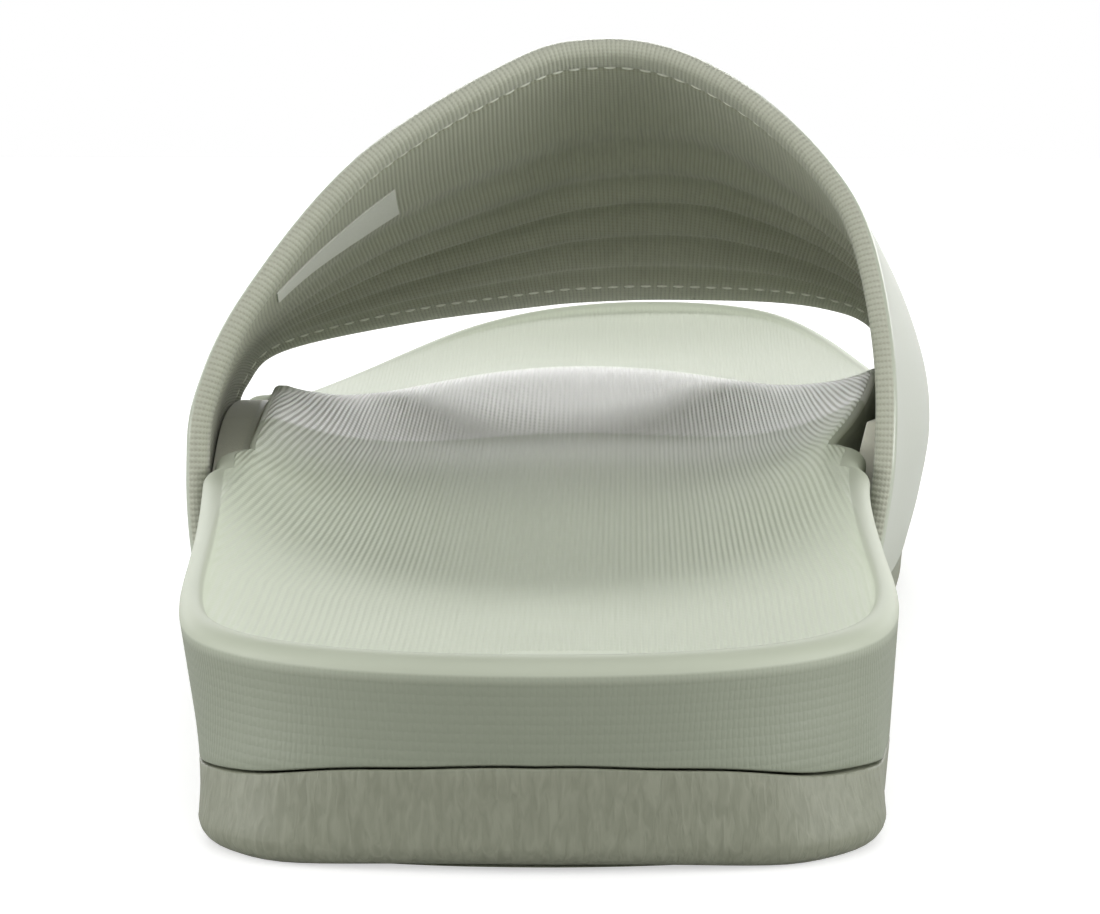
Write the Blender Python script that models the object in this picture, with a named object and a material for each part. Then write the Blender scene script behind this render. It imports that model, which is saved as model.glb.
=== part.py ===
# Left slide sandal for a man: a two-layer moulded foam sole and one padded band over the foot.
# Metres, +Z up. X runs from the little-toe side (lateral, minus) to the big-toe side (medial, plus).
# Y runs from the heel to the toe. The finished sandal stands on Z = 0, centred on X and Y.

import math

import bmesh
import bpy
import numpy as np
from mathutils import Matrix


# Sizes of the sole
LENGTH = 0.303
HEEL_WIDTH = 0.0878
BALL_WIDTH = 0.1055
HEEL_HEIGHT = 0.0265
TOE_SPRING = 0.0085
LATERAL_TAPER = 0.0032
MEDIAL_TAPER = 0.0014
HEEL_CORNER_FULLNESS = 0.0042
RIM_RADIUS = 0.0024
SOLE_EDGE_RADIUS = 0.0030
WAIST_RELIEF = 0.0012
RIDGE_HEIGHT = 0.0064
RIDGE_MIDDLE = 0.0042

# Sizes of the tread
GROOVE_WIDTH = 0.0026
GROOVE_DEPTH = 0.0018
GROOVE_PITCH = 0.0125
GROOVE_WAVE = 0.0022
GROOVE_EDGE_MARGIN = 0.0085
# Half waves across the sole in each groove.
GROOVE_HALF_WAVES = 3.0
# The heel field and the forefoot field, as shares of the length.
GROOVE_FIELDS = ((0.075, 0.275), (0.540, 0.800))

# Sizes of the band over the foot
INSTEP_HEIGHT = 0.0864
TOE_EDGE_HEIGHT = 0.0418
STRAP_WALL = 0.0030
STRAP_PROUD = 0.0022
STRAP_CROWN = 0.0014
FOOT_TUCK = 0.0016
TAB_HEIGHT = 0.0220
TAB_DROPS = {-1: 0.27, 1: 0.0}
TAB_LEANS = {-1: 0.0, 1: 0.0030}
SLOT_WIDTH = 0.0012

# Fits
FIT_GAP = 0.0003
POCKET_CORNER = 0.0045
FOOT_CUT = 0.0024
SLOT_DEPTH = 0.0062

# Stretches of the sole over which something comes in or fades out, as shares of the length
BALL_BLEND = (0.20, 0.62)
WAIST_IN = (0.30, 0.36)
WAIST_OUT = (0.46, 0.52)
HEEL_CORNER_IN = (0.0, 0.03)
HEEL_CORNER_OUT = (0.045, 0.110)
TAPER_IN = (0.0, 0.08)
TAPER_OUT = (0.90, 1.0)
# The same from the spine to the outline, for the waist's relief
WAIST_EDGE = (0.72, 0.86)
# The same from the band's foot up to its top, for its crown
CROWN_IN = (0.3, 0.9)

# Sole outline seen from above, a row for each station. "along" is a share of the length,
# the other two are shares of half the local width, from the heel's own centre line.
OUTLINE_COLUMNS = ("along", "lateral", "medial")
OUTLINE = (
    (0.007, 0.400, 0.400),
    (0.033, 0.755, 0.745),
    (0.066, 0.925, 0.915),
    (0.110, 1.000, 0.997),
    (0.200, 1.040, 1.015),
    (0.310, 1.036, 0.970),
    (0.400, 1.015, 0.936),
    (0.500, 0.990, 0.975),
    (0.600, 0.976, 1.022),
    (0.680, 0.952, 1.046),
    (0.750, 0.880, 1.038),
    (0.820, 0.757, 1.000),
    (0.880, 0.592, 0.925),
    (0.940, 0.385, 0.815),
    (0.980, 0.130, 0.660),
)
TOE_TIP_ACROSS = 0.370

# Heights along the sole. "ground" is a share of the toe spring, the next four are shares of the heel
# height. "shelf" is the width beside the rim that stays at the rim's height, as a share of the slot's
# depth. "dish" is the power with which the bed turns up to the rim: above 1, its middle stays flat.
# "slot_lateral" and "slot_medial" are shares of the slot's depth, from the outline to its inner wall.
PROFILE_COLUMNS = (
    "along", "ground", "parting", "rim_lateral", "rim_medial",
    "bed", "shelf", "dish", "slot_lateral", "slot_medial",
)
PROFILE = (
    (0.000, 0.10, 0.510, 1.000, 1.000, 0.800, 0.00, 2.6, 1.00, 1.06),
    (0.036, 0.00, 0.395, 1.000, 1.000, 0.795, 0.00, 2.6, 1.00, 1.06),
    (0.080, 0.00, 0.338, 1.000, 1.000, 0.785, 0.00, 2.6, 1.00, 1.06),
    (0.200, 0.00, 0.320, 1.025, 1.030, 0.755, 0.00, 2.6, 1.00, 1.06),
    (0.320, 0.00, 0.318, 1.065, 1.075, 0.755, 0.50, 2.8, 1.00, 1.06),
    (0.400, 0.00, 0.315, 1.105, 1.125, 0.760, 1.00, 3.0, 1.00, 1.06),
    (0.450, 0.00, 0.314, 1.120, 1.145, 0.765, 1.15, 3.2, 1.00, 1.06),
    (0.500, 0.00, 0.312, 1.145, 1.175, 0.765, 1.25, 3.4, 1.13, 0.98),
    (0.560, 0.00, 0.310, 1.165, 1.215, 0.770, 1.25, 3.4, 1.24, 0.92),
    (0.610, 0.00, 0.308, 1.165, 1.250, 0.775, 1.25, 3.4, 1.25, 0.87),
    (0.660, 0.00, 0.305, 1.060, 1.200, 0.785, 1.15, 3.2, 1.15, 0.82),
    (0.710, 0.01, 0.303, 0.910, 1.050, 0.800, 0.80, 3.0, 1.00, 0.80),
    (0.760, 0.06, 0.310, 0.850, 0.960, 0.815, 0.30, 2.8, 1.00, 0.80),
    (0.820, 0.18, 0.345, 0.845, 0.930, 0.840, 0.00, 2.8, 1.00, 0.80),
    (0.900, 0.48, 0.450, 0.930, 0.985, 0.870, 0.00, 2.6, 1.00, 0.80),
    (1.000, 1.00, 0.620, 1.105, 1.105, 0.990, 0.00, 2.6, 1.00, 0.80),
)

# The toe ridge across the footbed, from its foot on its middle line towards the toe. "past" is a share
# of the length, "rise" of the ridge's height.
RIDGE_COLUMNS = ("past", "rise")
RIDGE = (
    (-0.040, 0.00),
    (0.000, 0.00),
    (0.006, 0.07),
    (0.024, 0.34),
    (0.044, 0.65),
    (0.059, 0.87),
    (0.068, 0.96),
    (0.077, 1.00),
    (0.090, 0.95),
    (0.115, 0.70),
    (0.150, 0.32),
    (0.190, 0.06),
    (0.220, 0.00),
    (0.260, 0.00),
)
# Where the ridge's foot crosses its middle line, as a share of the length.
RIDGE_FOOT = 0.672
# How far the ridge bends back towards the heel at half the ball's width, as a share of the length.
RIDGE_BEND = 0.205
# Where each slot beside the footbed begins, as a share of the length.
SLOT_STARTS = {-1: 0.439, 1: 0.443}

# The band's two free edges, a row for each fold from the lateral foot over the instep to the medial
# foot. "along" is a share of the length, "across" of the local half width with the band's proud
# thickness, "height" of the rise from the parting line to the edge's highest point.
STRAP_COLUMNS = ("back_along", "back_across", "back_height", "front_along", "front_across", "front_height")
STRAP_FOLDS = (
    (0.399, -0.955, 0.000, 0.655, -0.950, 0.000),
    (0.400, -0.995, 0.110, 0.656, -0.985, 0.220),
    (0.402, -1.005, 0.260, 0.658, -1.005, 0.460),
    (0.409, -0.980, 0.390, 0.664, -0.975, 0.650),
    (0.432, -0.850, 0.560, 0.682, -0.860, 0.825),
    (0.469, -0.540, 0.795, 0.715, -0.490, 0.925),
    (0.499, -0.115, 0.965, 0.742, -0.090, 0.975),
    (0.510, 0.110, 1.000, 0.751, 0.110, 0.992),
    (0.511, 0.330, 0.982, 0.752, 0.310, 1.000),
    (0.503, 0.560, 0.906, 0.747, 0.540, 1.000),
    (0.485, 0.775, 0.785, 0.731, 0.750, 0.980),
    (0.462, 0.912, 0.660, 0.711, 0.885, 0.905),
    (0.428, 1.005, 0.465, 0.694, 0.970, 0.690),
    (0.405, 1.025, 0.280, 0.684, 1.000, 0.470),
    (0.400, 0.990, 0.110, 0.680, 0.985, 0.220),
    (0.399, 0.955, 0.000, 0.678, 0.950, 0.000),
)
# Rows of the band's front edge that are still beside the sole's rim, from either foot.
FOLDS_BESIDE_RIM = 3
# Above 1, the back edge's arch holds further towards the toe.
ARCH_HOLD = 1.9

# Share of the side's taper that is reached at the joint between the layers.
JOINT_LEAN = 0.7
# Where a tab ends between the band's two edges. It starts where its slot does.
TAB_END = 0.97

# Finishes
FOAM_COLOUR = (0.40, 0.46, 0.35)
FOAM_ROUGHNESS = 0.55
TREAD_COLOUR = (0.33, 0.36, 0.28)
TREAD_ROUGHNESS = 0.60
COATED_COLOUR = (0.45, 0.49, 0.42)
COATED_ROUGHNESS = 0.35
SUEDE_COLOUR = (0.15, 0.15, 0.12)
SUEDE_ROUGHNESS = 0.90
SHARP_EDGE_DEGREES = 40.0

# Loft detail
OUTLINE_SAMPLES = 1440
HEEL_SPINE = 0.105
TOE_SPINE = 0.885
SIDE_STATIONS = 48
END_STATIONS = 7
POCKET_END_SHARES = (-1.0, -0.5, -0.2, -0.05, 0.0)
RIM_TURNS = (35.0, 70.0, 100.0)
EDGE_TURNS = (0.0, 30.0, 60.0, 90.0)
FREE_EDGE_TURNS = (70.0, 20.0, -20.0, -70.0)
BED_SHARES = (0.93, 0.88, 0.82, 0.75, 0.66, 0.55, 0.43, 0.30, 0.16, 0.0)
TREAD_SHARES = (0.80, 0.70, 0.35, 0.0)
FOLD_STEPS = 3
BAND_STEPS = 9
TAB_STEPS = 6
TAB_ROWS = 5
GROOVE_STEPS = 12
MERGE_DISTANCE = 1e-7


def column(table, columns, name):
    """One named column of a table, as an array."""
    return np.array([row[columns.index(name)] for row in table])


def smooth_table(positions, values, where):
    """A smooth curve through a table's values, read at one place."""
    slopes = np.gradient(values, positions)
    level = np.diff(values) == 0.0
    slopes[:-1][level] = 0.0
    slopes[1:][level] = 0.0
    place = min(max(where, positions[0]), positions[-1])
    row = int(np.searchsorted(positions, place, side="right")) - 1
    row = min(max(row, 0), len(positions) - 2)
    span = positions[row + 1] - positions[row]
    t = (place - positions[row]) / span
    start = (1.0 + 2.0 * t) * (1.0 - t) ** 2
    start_slope = t * (1.0 - t) ** 2
    end = t * t * (3.0 - 2.0 * t)
    end_slope = t * t * (t - 1.0)
    return float(
        start * values[row]
        + start_slope * span * slopes[row]
        + end * values[row + 1]
        + end_slope * span * slopes[row + 1]
    )


def smoothstep(low, high, value):
    """0 below low, 1 above high, and an even S between them."""
    t = min(max((value - low) / (high - low), 0.0), 1.0)
    return t * t * (3.0 - 2.0 * t)


def closed_spline(points, samples):
    """Points on the smooth closed curve through the given ones."""
    points = np.array(points)
    count = len(points)
    steps = np.linalg.norm(np.roll(points, -1, axis=0) - points, axis=1)
    before = np.roll(steps, 1)
    system = np.zeros((count, count))
    target = np.zeros_like(points)
    for i in range(count):
        following = (i + 1) % count
        system[i, i - 1] = steps[i]
        system[i, i] = 2.0 * (steps[i] + before[i])
        system[i, following] = before[i]
        rise_in = (points[i] - points[i - 1]) / before[i]
        rise_out = (points[following] - points[i]) / steps[i]
        target[i] = 3.0 * (steps[i] * rise_in + before[i] * rise_out)
    slopes = np.linalg.solve(system, target)
    curve = []
    per_span = samples // count
    for i in range(count):
        following = (i + 1) % count
        for k in range(per_span):
            t = k / per_span
            curve.append(
                (1.0 + 2.0 * t) * (1.0 - t) ** 2 * points[i]
                + t * (1.0 - t) ** 2 * steps[i] * slopes[i]
                + t * t * (3.0 - 2.0 * t) * points[following]
                + t * t * (t - 1.0) * steps[i] * slopes[following]
            )
    return np.array(curve)


class Outline:
    """The sole's outline at its widest level, read at a distance from the heel."""

    def __init__(self):
        corners = [(0.0, 0.0)]
        rows = [dict(zip(OUTLINE_COLUMNS, row)) for row in OUTLINE]
        for row in rows:
            corners.append((-row["lateral"] * self.local_half(row["along"]), row["along"] * LENGTH))
        corners.append((TOE_TIP_ACROSS * BALL_WIDTH / 2.0, LENGTH))
        for row in reversed(rows):
            corners.append((row["medial"] * self.local_half(row["along"]), row["along"] * LENGTH))
        curve = closed_spline(corners, OUTLINE_SAMPLES)
        low = curve[:, 1].min()
        high = curve[:, 1].max()
        curve[:, 1] = (curve[:, 1] - low) * LENGTH / (high - low)
        heel = int(curve[:, 1].argmin())
        curve = np.roll(curve, -heel, axis=0)
        toe = int(curve[:, 1].argmax())
        self.lateral = curve[: toe + 1]
        self.medial = np.vstack([curve[toe:], curve[:1]])[::-1]

    @staticmethod
    def local_half(along):
        """Half of the named width that holds at a share of the length."""
        blend = smoothstep(*BALL_BLEND, along)
        return (HEEL_WIDTH + (BALL_WIDTH - HEEL_WIDTH) * blend) / 2.0

    def across(self, y, side):
        """X of the outline on one side, -1 lateral or 1 medial."""
        edge = self.lateral if side < 0 else self.medial
        return float(np.interp(y, edge[:, 1], edge[:, 0]))

    def middle(self, y):
        """X half way between the two sides."""
        return (self.across(y, -1) + self.across(y, 1)) / 2.0


PROFILE_UNITS = {
    "ground": TOE_SPRING,
    "shelf": SLOT_DEPTH,
    "dish": 1.0,
    "slot_lateral": SLOT_DEPTH,
    "slot_medial": SLOT_DEPTH,
}


def profile(name, y):
    """A value of the sole's profile at a distance from the heel."""
    unit = PROFILE_UNITS.get(name, HEEL_HEIGHT)
    positions = column(PROFILE, PROFILE_COLUMNS, "along")
    return unit * smooth_table(positions, column(PROFILE, PROFILE_COLUMNS, name), y / LENGTH)


def pocket_range(side):
    """Where the sole's side is cut back for the band's foot, from the heel."""
    back = column(STRAP_FOLDS, STRAP_COLUMNS, "back_along")
    front = column(STRAP_FOLDS, STRAP_COLUMNS, "front_along")
    if side > 0:
        back = back[::-1]
        front = front[::-1]
    reach = STRAP_WALL / 2.0 + 2.0 * FIT_GAP
    start = back[0] * LENGTH - reach
    end = front[FOLDS_BESIDE_RIM] * LENGTH + reach
    return start, end


def band_cut():
    """How far the sole's side is cut back for the band's wall alone."""
    return STRAP_WALL - STRAP_PROUD + 2.0 * FIT_GAP


def slot_inset(y, side):
    """How far in from the outline the slot's inner wall stands."""
    return profile("slot_lateral" if side < 0 else "slot_medial", y)


def rounded_step(into, radius):
    """Share of a cut that is reached past its start, round a corner."""
    t = min(max(into / radius, 0.0), 1.0)
    return 1.0 - math.sqrt(1.0 - t ** 2)


def pocket_inset(y, side, rise=1.0):
    """Cut-back of the sole's side: first for the band's wall, whose foot turns in, then for the slot."""
    start, end = pocket_range(side)
    shallow = band_cut() + FOOT_CUT * (1.0 - rise)
    before_end = (end + POCKET_CORNER) - y
    beside_band = rounded_step(min(y - (start - POCKET_CORNER / 2.0), before_end), POCKET_CORNER / 2.0)
    slot_start = SLOT_STARTS[side] * LENGTH
    beside_slot = rounded_step(min(y - (slot_start - POCKET_CORNER), before_end), POCKET_CORNER)
    return shallow * beside_band + (slot_inset(y, side) - shallow) * beside_slot


def station_places(with_pockets):
    """Distances from the heel of the loft's stations, close together at the rounded ends."""
    places = []
    heel_end = HEEL_SPINE * LENGTH
    toe_start = TOE_SPINE * LENGTH
    for i in range(END_STATIONS):
        share = 1.0 - math.cos(math.pi / 2.0 * i / END_STATIONS)
        places.append(heel_end * share)
        places.append(LENGTH - (LENGTH - toe_start) * share)
    for i in range(SIDE_STATIONS):
        places.append(heel_end + (toe_start - heel_end) * i / (SIDE_STATIONS - 1))
    if with_pockets:
        places = add_pocket_stations(places)
    return sorted(places)


def add_pocket_stations(places):
    """The stations with those beside a pocket's end moved to its corner."""
    corners = []
    for side in (-1, 1):
        start, end = pocket_range(side)
        corners.append(start - POCKET_CORNER / 2.0)
        corners.append(start)
        for share in POCKET_END_SHARES:
            corners.append(SLOT_STARTS[side] * LENGTH + share * POCKET_CORNER)
            corners.append(end - share * POCKET_CORNER)
    kept = [y for y in places if min(abs(y - c) for c in corners) > POCKET_CORNER * 0.5]
    unique = []
    for corner in sorted(corners):
        if not unique or corner - unique[-1] > FIT_GAP / 10.0:
            unique.append(corner)
    return kept + unique


class Sole:
    """Points of the sole: a station, a side, a way in from the outline, and a height."""

    def __init__(self, outline):
        self.outline = outline

    def spine(self, y):
        """The point in the middle of the sole that a station's rings close on."""
        place = min(max(y, HEEL_SPINE * LENGTH), TOE_SPINE * LENGTH)
        return np.array((self.outline.middle(place), place))

    def reach(self, y, side):
        """Distance from the spine to the outline."""
        edge = np.array((self.outline.across(y, side), y))
        return float(np.linalg.norm(edge - self.spine(y)))

    def plan(self, y, side, inset):
        """X and Y at a distance in from the outline, towards the spine."""
        edge = np.array((self.outline.across(y, side), y))
        spine = self.spine(y)
        share = 1.0 - min(inset / np.linalg.norm(edge - spine), 1.0)
        return spine + share * (edge - spine), share

    def parting(self, y, side, inset):
        """Height of the joint between the two layers."""
        share = self.plan(y, side, inset)[1]
        edge = profile("parting", y)
        middle = profile("parting", self.spine(y)[1])
        return middle + (edge - middle) * share ** 2

    def bed(self, y, side, inset):
        """Height of the footbed: a dish between the rims, with the toe bar across it."""
        point, share = self.plan(y, side, inset)
        rim = profile("rim_lateral" if side < 0 else "rim_medial", y)
        middle = profile("bed", self.spine(y)[1]) + self.ridge(*point)
        shelf = profile("shelf", y) * slot_inset(y, side) / SLOT_DEPTH / self.reach(y, side)
        rise = min(share / (1.0 - shelf), 1.0)
        return middle + (rim - middle) * rise ** profile("dish", y)

    def ridge(self, x, y):
        """Height of the toe ridge above the bed, on a line that bends back at both sides."""
        bend = RIDGE_BEND * ((x - RIDGE_MIDDLE) / (BALL_WIDTH / 2.0)) ** 2
        past = y / LENGTH + bend - RIDGE_FOOT
        positions = column(RIDGE, RIDGE_COLUMNS, "past")
        return RIDGE_HEIGHT * smooth_table(positions, column(RIDGE, RIDGE_COLUMNS, "rise"), past)

    def floor(self, y, side, inset):
        """Height of the tread, lifted a little at the waist."""
        share = self.plan(y, side, inset)[1]
        place = y / LENGTH
        waist = smoothstep(*WAIST_IN, place) * (1.0 - smoothstep(*WAIST_OUT, place))
        inner = 1.0 - smoothstep(*WAIST_EDGE, share)
        ground = profile("ground", y)
        middle = profile("ground", self.spine(y)[1])
        return middle + (ground - middle) * share ** 2 + WAIST_RELIEF * waist * inner


def ring(sole, places, height, inset):
    """One loop round the sole: lateral side to the toe, and back on the medial side."""
    loop = []
    walk = [(y, -1) for y in places] + [(y, 1) for y in reversed(places[1:-1])]
    for y, side in walk:
        depth = inset(y, side)
        point = sole.plan(y, side, depth)[0]
        loop.append((point[0], point[1], height(y, side, depth)))
    return loop


def split_along_contours(shape):
    """Split each four-sided face between the two opposite corners that are closer in height."""
    for face in [face for face in shape.faces if len(face.verts) == 4]:
        corners = list(face.verts)
        first = abs(corners[0].co.z - corners[2].co.z)
        second = abs(corners[1].co.z - corners[3].co.z)
        pair = (corners[0], corners[2]) if first < second else (corners[1], corners[3])
        bmesh.utils.face_split(face, *pair)


def mesh_from_rings(name, rings):
    """A closed mesh from loops with the same count, whose end loops fold onto the spine."""
    shape = bmesh.new()
    grid = [[shape.verts.new(point) for point in loop] for loop in rings]
    count = len(rings[0])
    for lower, upper in zip(grid, grid[1:]):
        for k in range(count):
            following = (k + 1) % count
            shape.faces.new((lower[k], lower[following], upper[following], upper[k]))
    bmesh.ops.remove_doubles(shape, verts=shape.verts, dist=MERGE_DISTANCE)
    bmesh.ops.dissolve_degenerate(shape, edges=shape.edges, dist=MERGE_DISTANCE)
    split_along_contours(shape)
    bmesh.ops.recalc_face_normals(shape, faces=shape.faces)
    mesh = bpy.data.meshes.new(name)
    shape.to_mesh(mesh)
    shape.free()
    return mesh


def material(name, colour, roughness):
    """A plain Principled finish."""
    finish = bpy.data.materials.new(name)
    finish.use_nodes = True
    shader = finish.node_tree.nodes["Principled BSDF"]
    shader.inputs["Base Color"].default_value = (*colour, 1.0)
    shader.inputs["Roughness"].default_value = roughness
    shader.inputs["Metallic"].default_value = 0.0
    return finish


def add_object(name, mesh, collection, finish=None):
    """A mesh as an object of one collection, shaded smooth with its sharp edges kept."""
    thing = bpy.data.objects.new(name, mesh)
    if finish:
        mesh.materials.append(finish)
        mesh.shade_smooth()
        mesh.set_sharp_from_angle(angle=math.radians(SHARP_EDGE_DEGREES))
    collection.objects.link(thing)
    return thing


def share_inset(sole, share, rise=1.0):
    """An inset that leaves a share of the way from the spine, kept behind the rim beside a pocket."""

    def inset(y, side):
        behind_rim = pocket_inset(y, side, rise) + 2.0 * RIM_RADIUS * share
        return max(behind_rim, sole.reach(y, side) * (1.0 - share))

    return inset


def lower_inset(y, side, lean):
    """Inset of the side below the rim, which leans in and is fuller at the heel's two corners."""
    place = y / LENGTH
    corner = smoothstep(*HEEL_CORNER_IN, place) * (1.0 - smoothstep(*HEEL_CORNER_OUT, place))
    middle = (LATERAL_TAPER + MEDIAL_TAPER) / 2.0
    taper = LATERAL_TAPER if side < 0 else MEDIAL_TAPER
    beside = smoothstep(*TAPER_IN, place) * (1.0 - smoothstep(*TAPER_OUT, place))
    return (middle + (taper - middle) * beside) * lean - HEEL_CORNER_FULLNESS * corner * lean ** 2


def build_footbed_layer(sole, collection, finish):
    """The upper foam layer: side wall, rounded rim, dished bed, toe bar and two pockets for the band."""
    places = station_places(with_pockets=True)

    def underside(y, side, depth):
        return sole.parting(y, side, depth) + FIT_GAP

    rings = []
    for share in (0.0, 0.5):
        rings.append(ring(sole, places, underside, share_inset(sole, share, 0.0)))

    # Side wall, from the joint up, leaning out to the rim.
    for rise in (0.0, 0.5, 1.0):

        def wall_inset(y, side, rise=rise):
            return max(pocket_inset(y, side, rise), lower_inset(y, side, (1.0 - rise) * JOINT_LEAN))

        def wall_height(y, side, depth, rise=rise):
            cut = pocket_inset(y, side)
            low = sole.parting(y, side, depth) + FIT_GAP
            high = sole.bed(y, side, cut) - RIM_RADIUS
            return low + (high - low) * rise

        rings.append(ring(sole, places, wall_height, wall_inset))

    # Rounded rim.
    for turn in RIM_TURNS:
        angle = math.radians(turn)

        def rim_inset(y, side, angle=angle):
            return pocket_inset(y, side) + RIM_RADIUS * (1.0 - math.cos(angle))

        def rim_height(y, side, depth, angle=angle):
            cut = pocket_inset(y, side)
            return sole.bed(y, side, cut) - RIM_RADIUS * (1.0 - math.sin(angle))

        rings.append(ring(sole, places, rim_height, rim_inset))

    # Footbed, closing on the spine.
    for share in BED_SHARES:
        rings.append(ring(sole, places, sole.bed, share_inset(sole, share)))
    mesh = mesh_from_rings("footbed_midsole", rings)
    return add_object("footbed_midsole", mesh, collection, finish)


def build_outsole(sole, collection, cutters, finish):
    """The lower foam layer: the joint on top, a tucked-under edge, the tread and its wavy grooves."""
    places = station_places(with_pockets=False)
    rings = []
    for share in (0.0, 0.5, 0.8):
        rings.append(ring(sole, places, sole.parting, share_inset_plain(sole, share)))
    rings.append(ring(sole, places, sole.parting, lean_inset(JOINT_LEAN, 0.0)))
    for turn in EDGE_TURNS:
        angle = math.radians(turn)
        tuck = SOLE_EDGE_RADIUS * (1.0 - math.cos(angle))
        rings.append(ring(sole, places, edge_height(sole, angle), lean_inset(1.0, tuck)))
    for share in TREAD_SHARES:
        rings.append(ring(sole, places, sole.floor, share_inset_plain(sole, share)))
    thing = add_object("outsole", mesh_from_rings("outsole", rings), collection, finish)
    cutter = add_groove_cutter(sole, cutters)
    cut = thing.modifiers.new("tread grooves", "BOOLEAN")
    cut.operation = "DIFFERENCE"
    cut.solver = "EXACT"
    cut.object = cutter
    return thing


def share_inset_plain(sole, share):
    """An inset that leaves a share of the way from the spine to the outline."""
    return lambda y, side: sole.reach(y, side) * (1.0 - share)


def lean_inset(lean, tuck):
    """An inset that follows the leaning side, and goes in further by a tuck."""
    return lambda y, side: lower_inset(y, side, lean) + tuck


def edge_height(sole, angle):
    """Height on the rounded lower edge, from its start on the side (0) to the tread (a right angle)."""
    return lambda y, side, depth: sole.floor(y, side, 0.0) + SOLE_EDGE_RADIUS * (1.0 - math.sin(angle))


def groove_places():
    """Distances from the heel of the tread's grooves."""
    places = []
    for start, end in GROOVE_FIELDS:
        room = (end - start) * LENGTH
        count = int(room / GROOVE_PITCH)
        first = start * LENGTH + (room - (count - 1) * GROOVE_PITCH) / 2.0
        places.extend(first + GROOVE_PITCH * i for i in range(count))
    return places


def add_groove_cutter(sole, collection):
    """Wavy bars across the tread, all in one cutter."""
    shape = bmesh.new()
    corners = ((-0.5, -1.0), (0.5, -1.0), (0.5, 1.0), (-0.5, 1.0))
    for y in groove_places():
        left = sole.outline.across(y, -1) + GROOVE_EDGE_MARGIN
        right = sole.outline.across(y, 1) - GROOVE_EDGE_MARGIN
        ground = sole.floor(y, 1, sole.reach(y, 1))
        loops = []
        for i in range(GROOVE_STEPS + 1):
            share = i / GROOVE_STEPS
            x = left + (right - left) * share
            middle = y + GROOVE_WAVE * math.cos(math.pi * GROOVE_HALF_WAVES * share)
            loop = []
            for along, up in corners:
                place = (x, middle + along * GROOVE_WIDTH, ground + up * GROOVE_DEPTH)
                loop.append(shape.verts.new(place))
            loops.append(loop)
        for a, b in zip(loops, loops[1:]):
            for k in range(len(corners)):
                following = (k + 1) % len(corners)
                shape.faces.new((a[k], a[following], b[following], b[k]))
        shape.faces.new(loops[0])
        shape.faces.new(loops[-1])
    bmesh.ops.recalc_face_normals(shape, faces=shape.faces)
    mesh = bpy.data.meshes.new("groove cutter")
    shape.to_mesh(mesh)
    shape.free()
    cutter = add_object("groove cutter", mesh, collection)
    cutter.hide_render = True
    cutter.display_type = "WIRE"
    return cutter


class Band:
    """The surface of the band over the foot, between its two free edges."""

    def __init__(self, sole):
        self.sole = sole
        self.columns = {name: column(STRAP_FOLDS, STRAP_COLUMNS, name) for name in STRAP_COLUMNS}
        self.rows = np.arange(len(STRAP_FOLDS), dtype=float)

    def read(self, name, fold, way):
        """A table value at a fold, between the back edge (0) and the front edge (1)."""
        back = smooth_table(self.rows, self.columns["back_" + name], fold)
        front = smooth_table(self.rows, self.columns["front_" + name], fold)
        blend = way if name == "along" else way ** ARCH_HOLD
        return back + (front - back) * blend

    def outer(self, fold, way):
        """A point of the outer face."""
        y = self.read("along", fold, way) * LENGTH
        across = self.read("across", fold, way)
        side = -1 if across < 0.0 else 1
        half = abs(self.sole.outline.across(y, side)) + STRAP_PROUD
        seat = self.sole.parting(y, side, FOOT_TUCK) + FIT_GAP
        top = INSTEP_HEIGHT + (TOE_EDGE_HEIGHT - INSTEP_HEIGHT) * way
        share = self.read("height", fold, way)
        crown = STRAP_CROWN * 4.0 * way * (1.0 - way) * smoothstep(*CROWN_IN, share)
        return np.array((across * half, y, seat + (top - seat) * share + crown))

    def frame(self, fold, way):
        """The outer point, the outward normal and the direction from back to front."""
        step = 0.02
        low = max(fold - step, 0.0)
        high = min(fold + step, self.rows[-1])
        near = max(way - step, 0.0)
        far = min(way + step, 1.0)
        over = self.outer(high, way) - self.outer(low, way)
        forward = self.outer(fold, far) - self.outer(fold, near)
        normal = np.cross(forward, over)
        normal /= np.linalg.norm(normal)
        forward = forward / np.linalg.norm(forward)
        return self.outer(fold, way), -normal, forward

    def fold_at_height(self, side, way, rise):
        """The fold where the band stands a given height above its foot."""
        last = self.rows[-1]
        folds = np.linspace(0.0, 4.0, 81)
        if side > 0:
            folds = last - folds
        foot = self.outer(folds[0], way)[2]
        heights = np.array([self.outer(f, way)[2] - foot for f in folds])
        return float(np.interp(rise, heights, folds))


def band_loop(band, fold):
    """A closed loop round the band's wall at one fold, with rounded free edges."""
    ways = [i / BAND_STEPS for i in range(BAND_STEPS + 1)]
    loop = []
    for way in ways:
        loop.append(band.outer(fold, way))
    loop.extend(free_edge(band, fold, 1.0, 1.0))
    for way in reversed(ways):
        point, normal, _ = band.frame(fold, way)
        loop.append(point - normal * STRAP_WALL)
    loop.extend(reversed(free_edge(band, fold, 0.0, -1.0)))
    return loop


def free_edge(band, fold, way, sense):
    """Points round a free edge of the band, from its outer face to its inner face."""
    radius = STRAP_WALL / 2.0
    point, normal, forward = band.frame(fold, way)
    middle = point - normal * radius
    points = []
    for turn in FREE_EDGE_TURNS:
        angle = math.radians(turn)
        points.append(middle + (forward * sense * math.cos(angle) + normal * math.sin(angle)) * radius)
    return points


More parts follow.
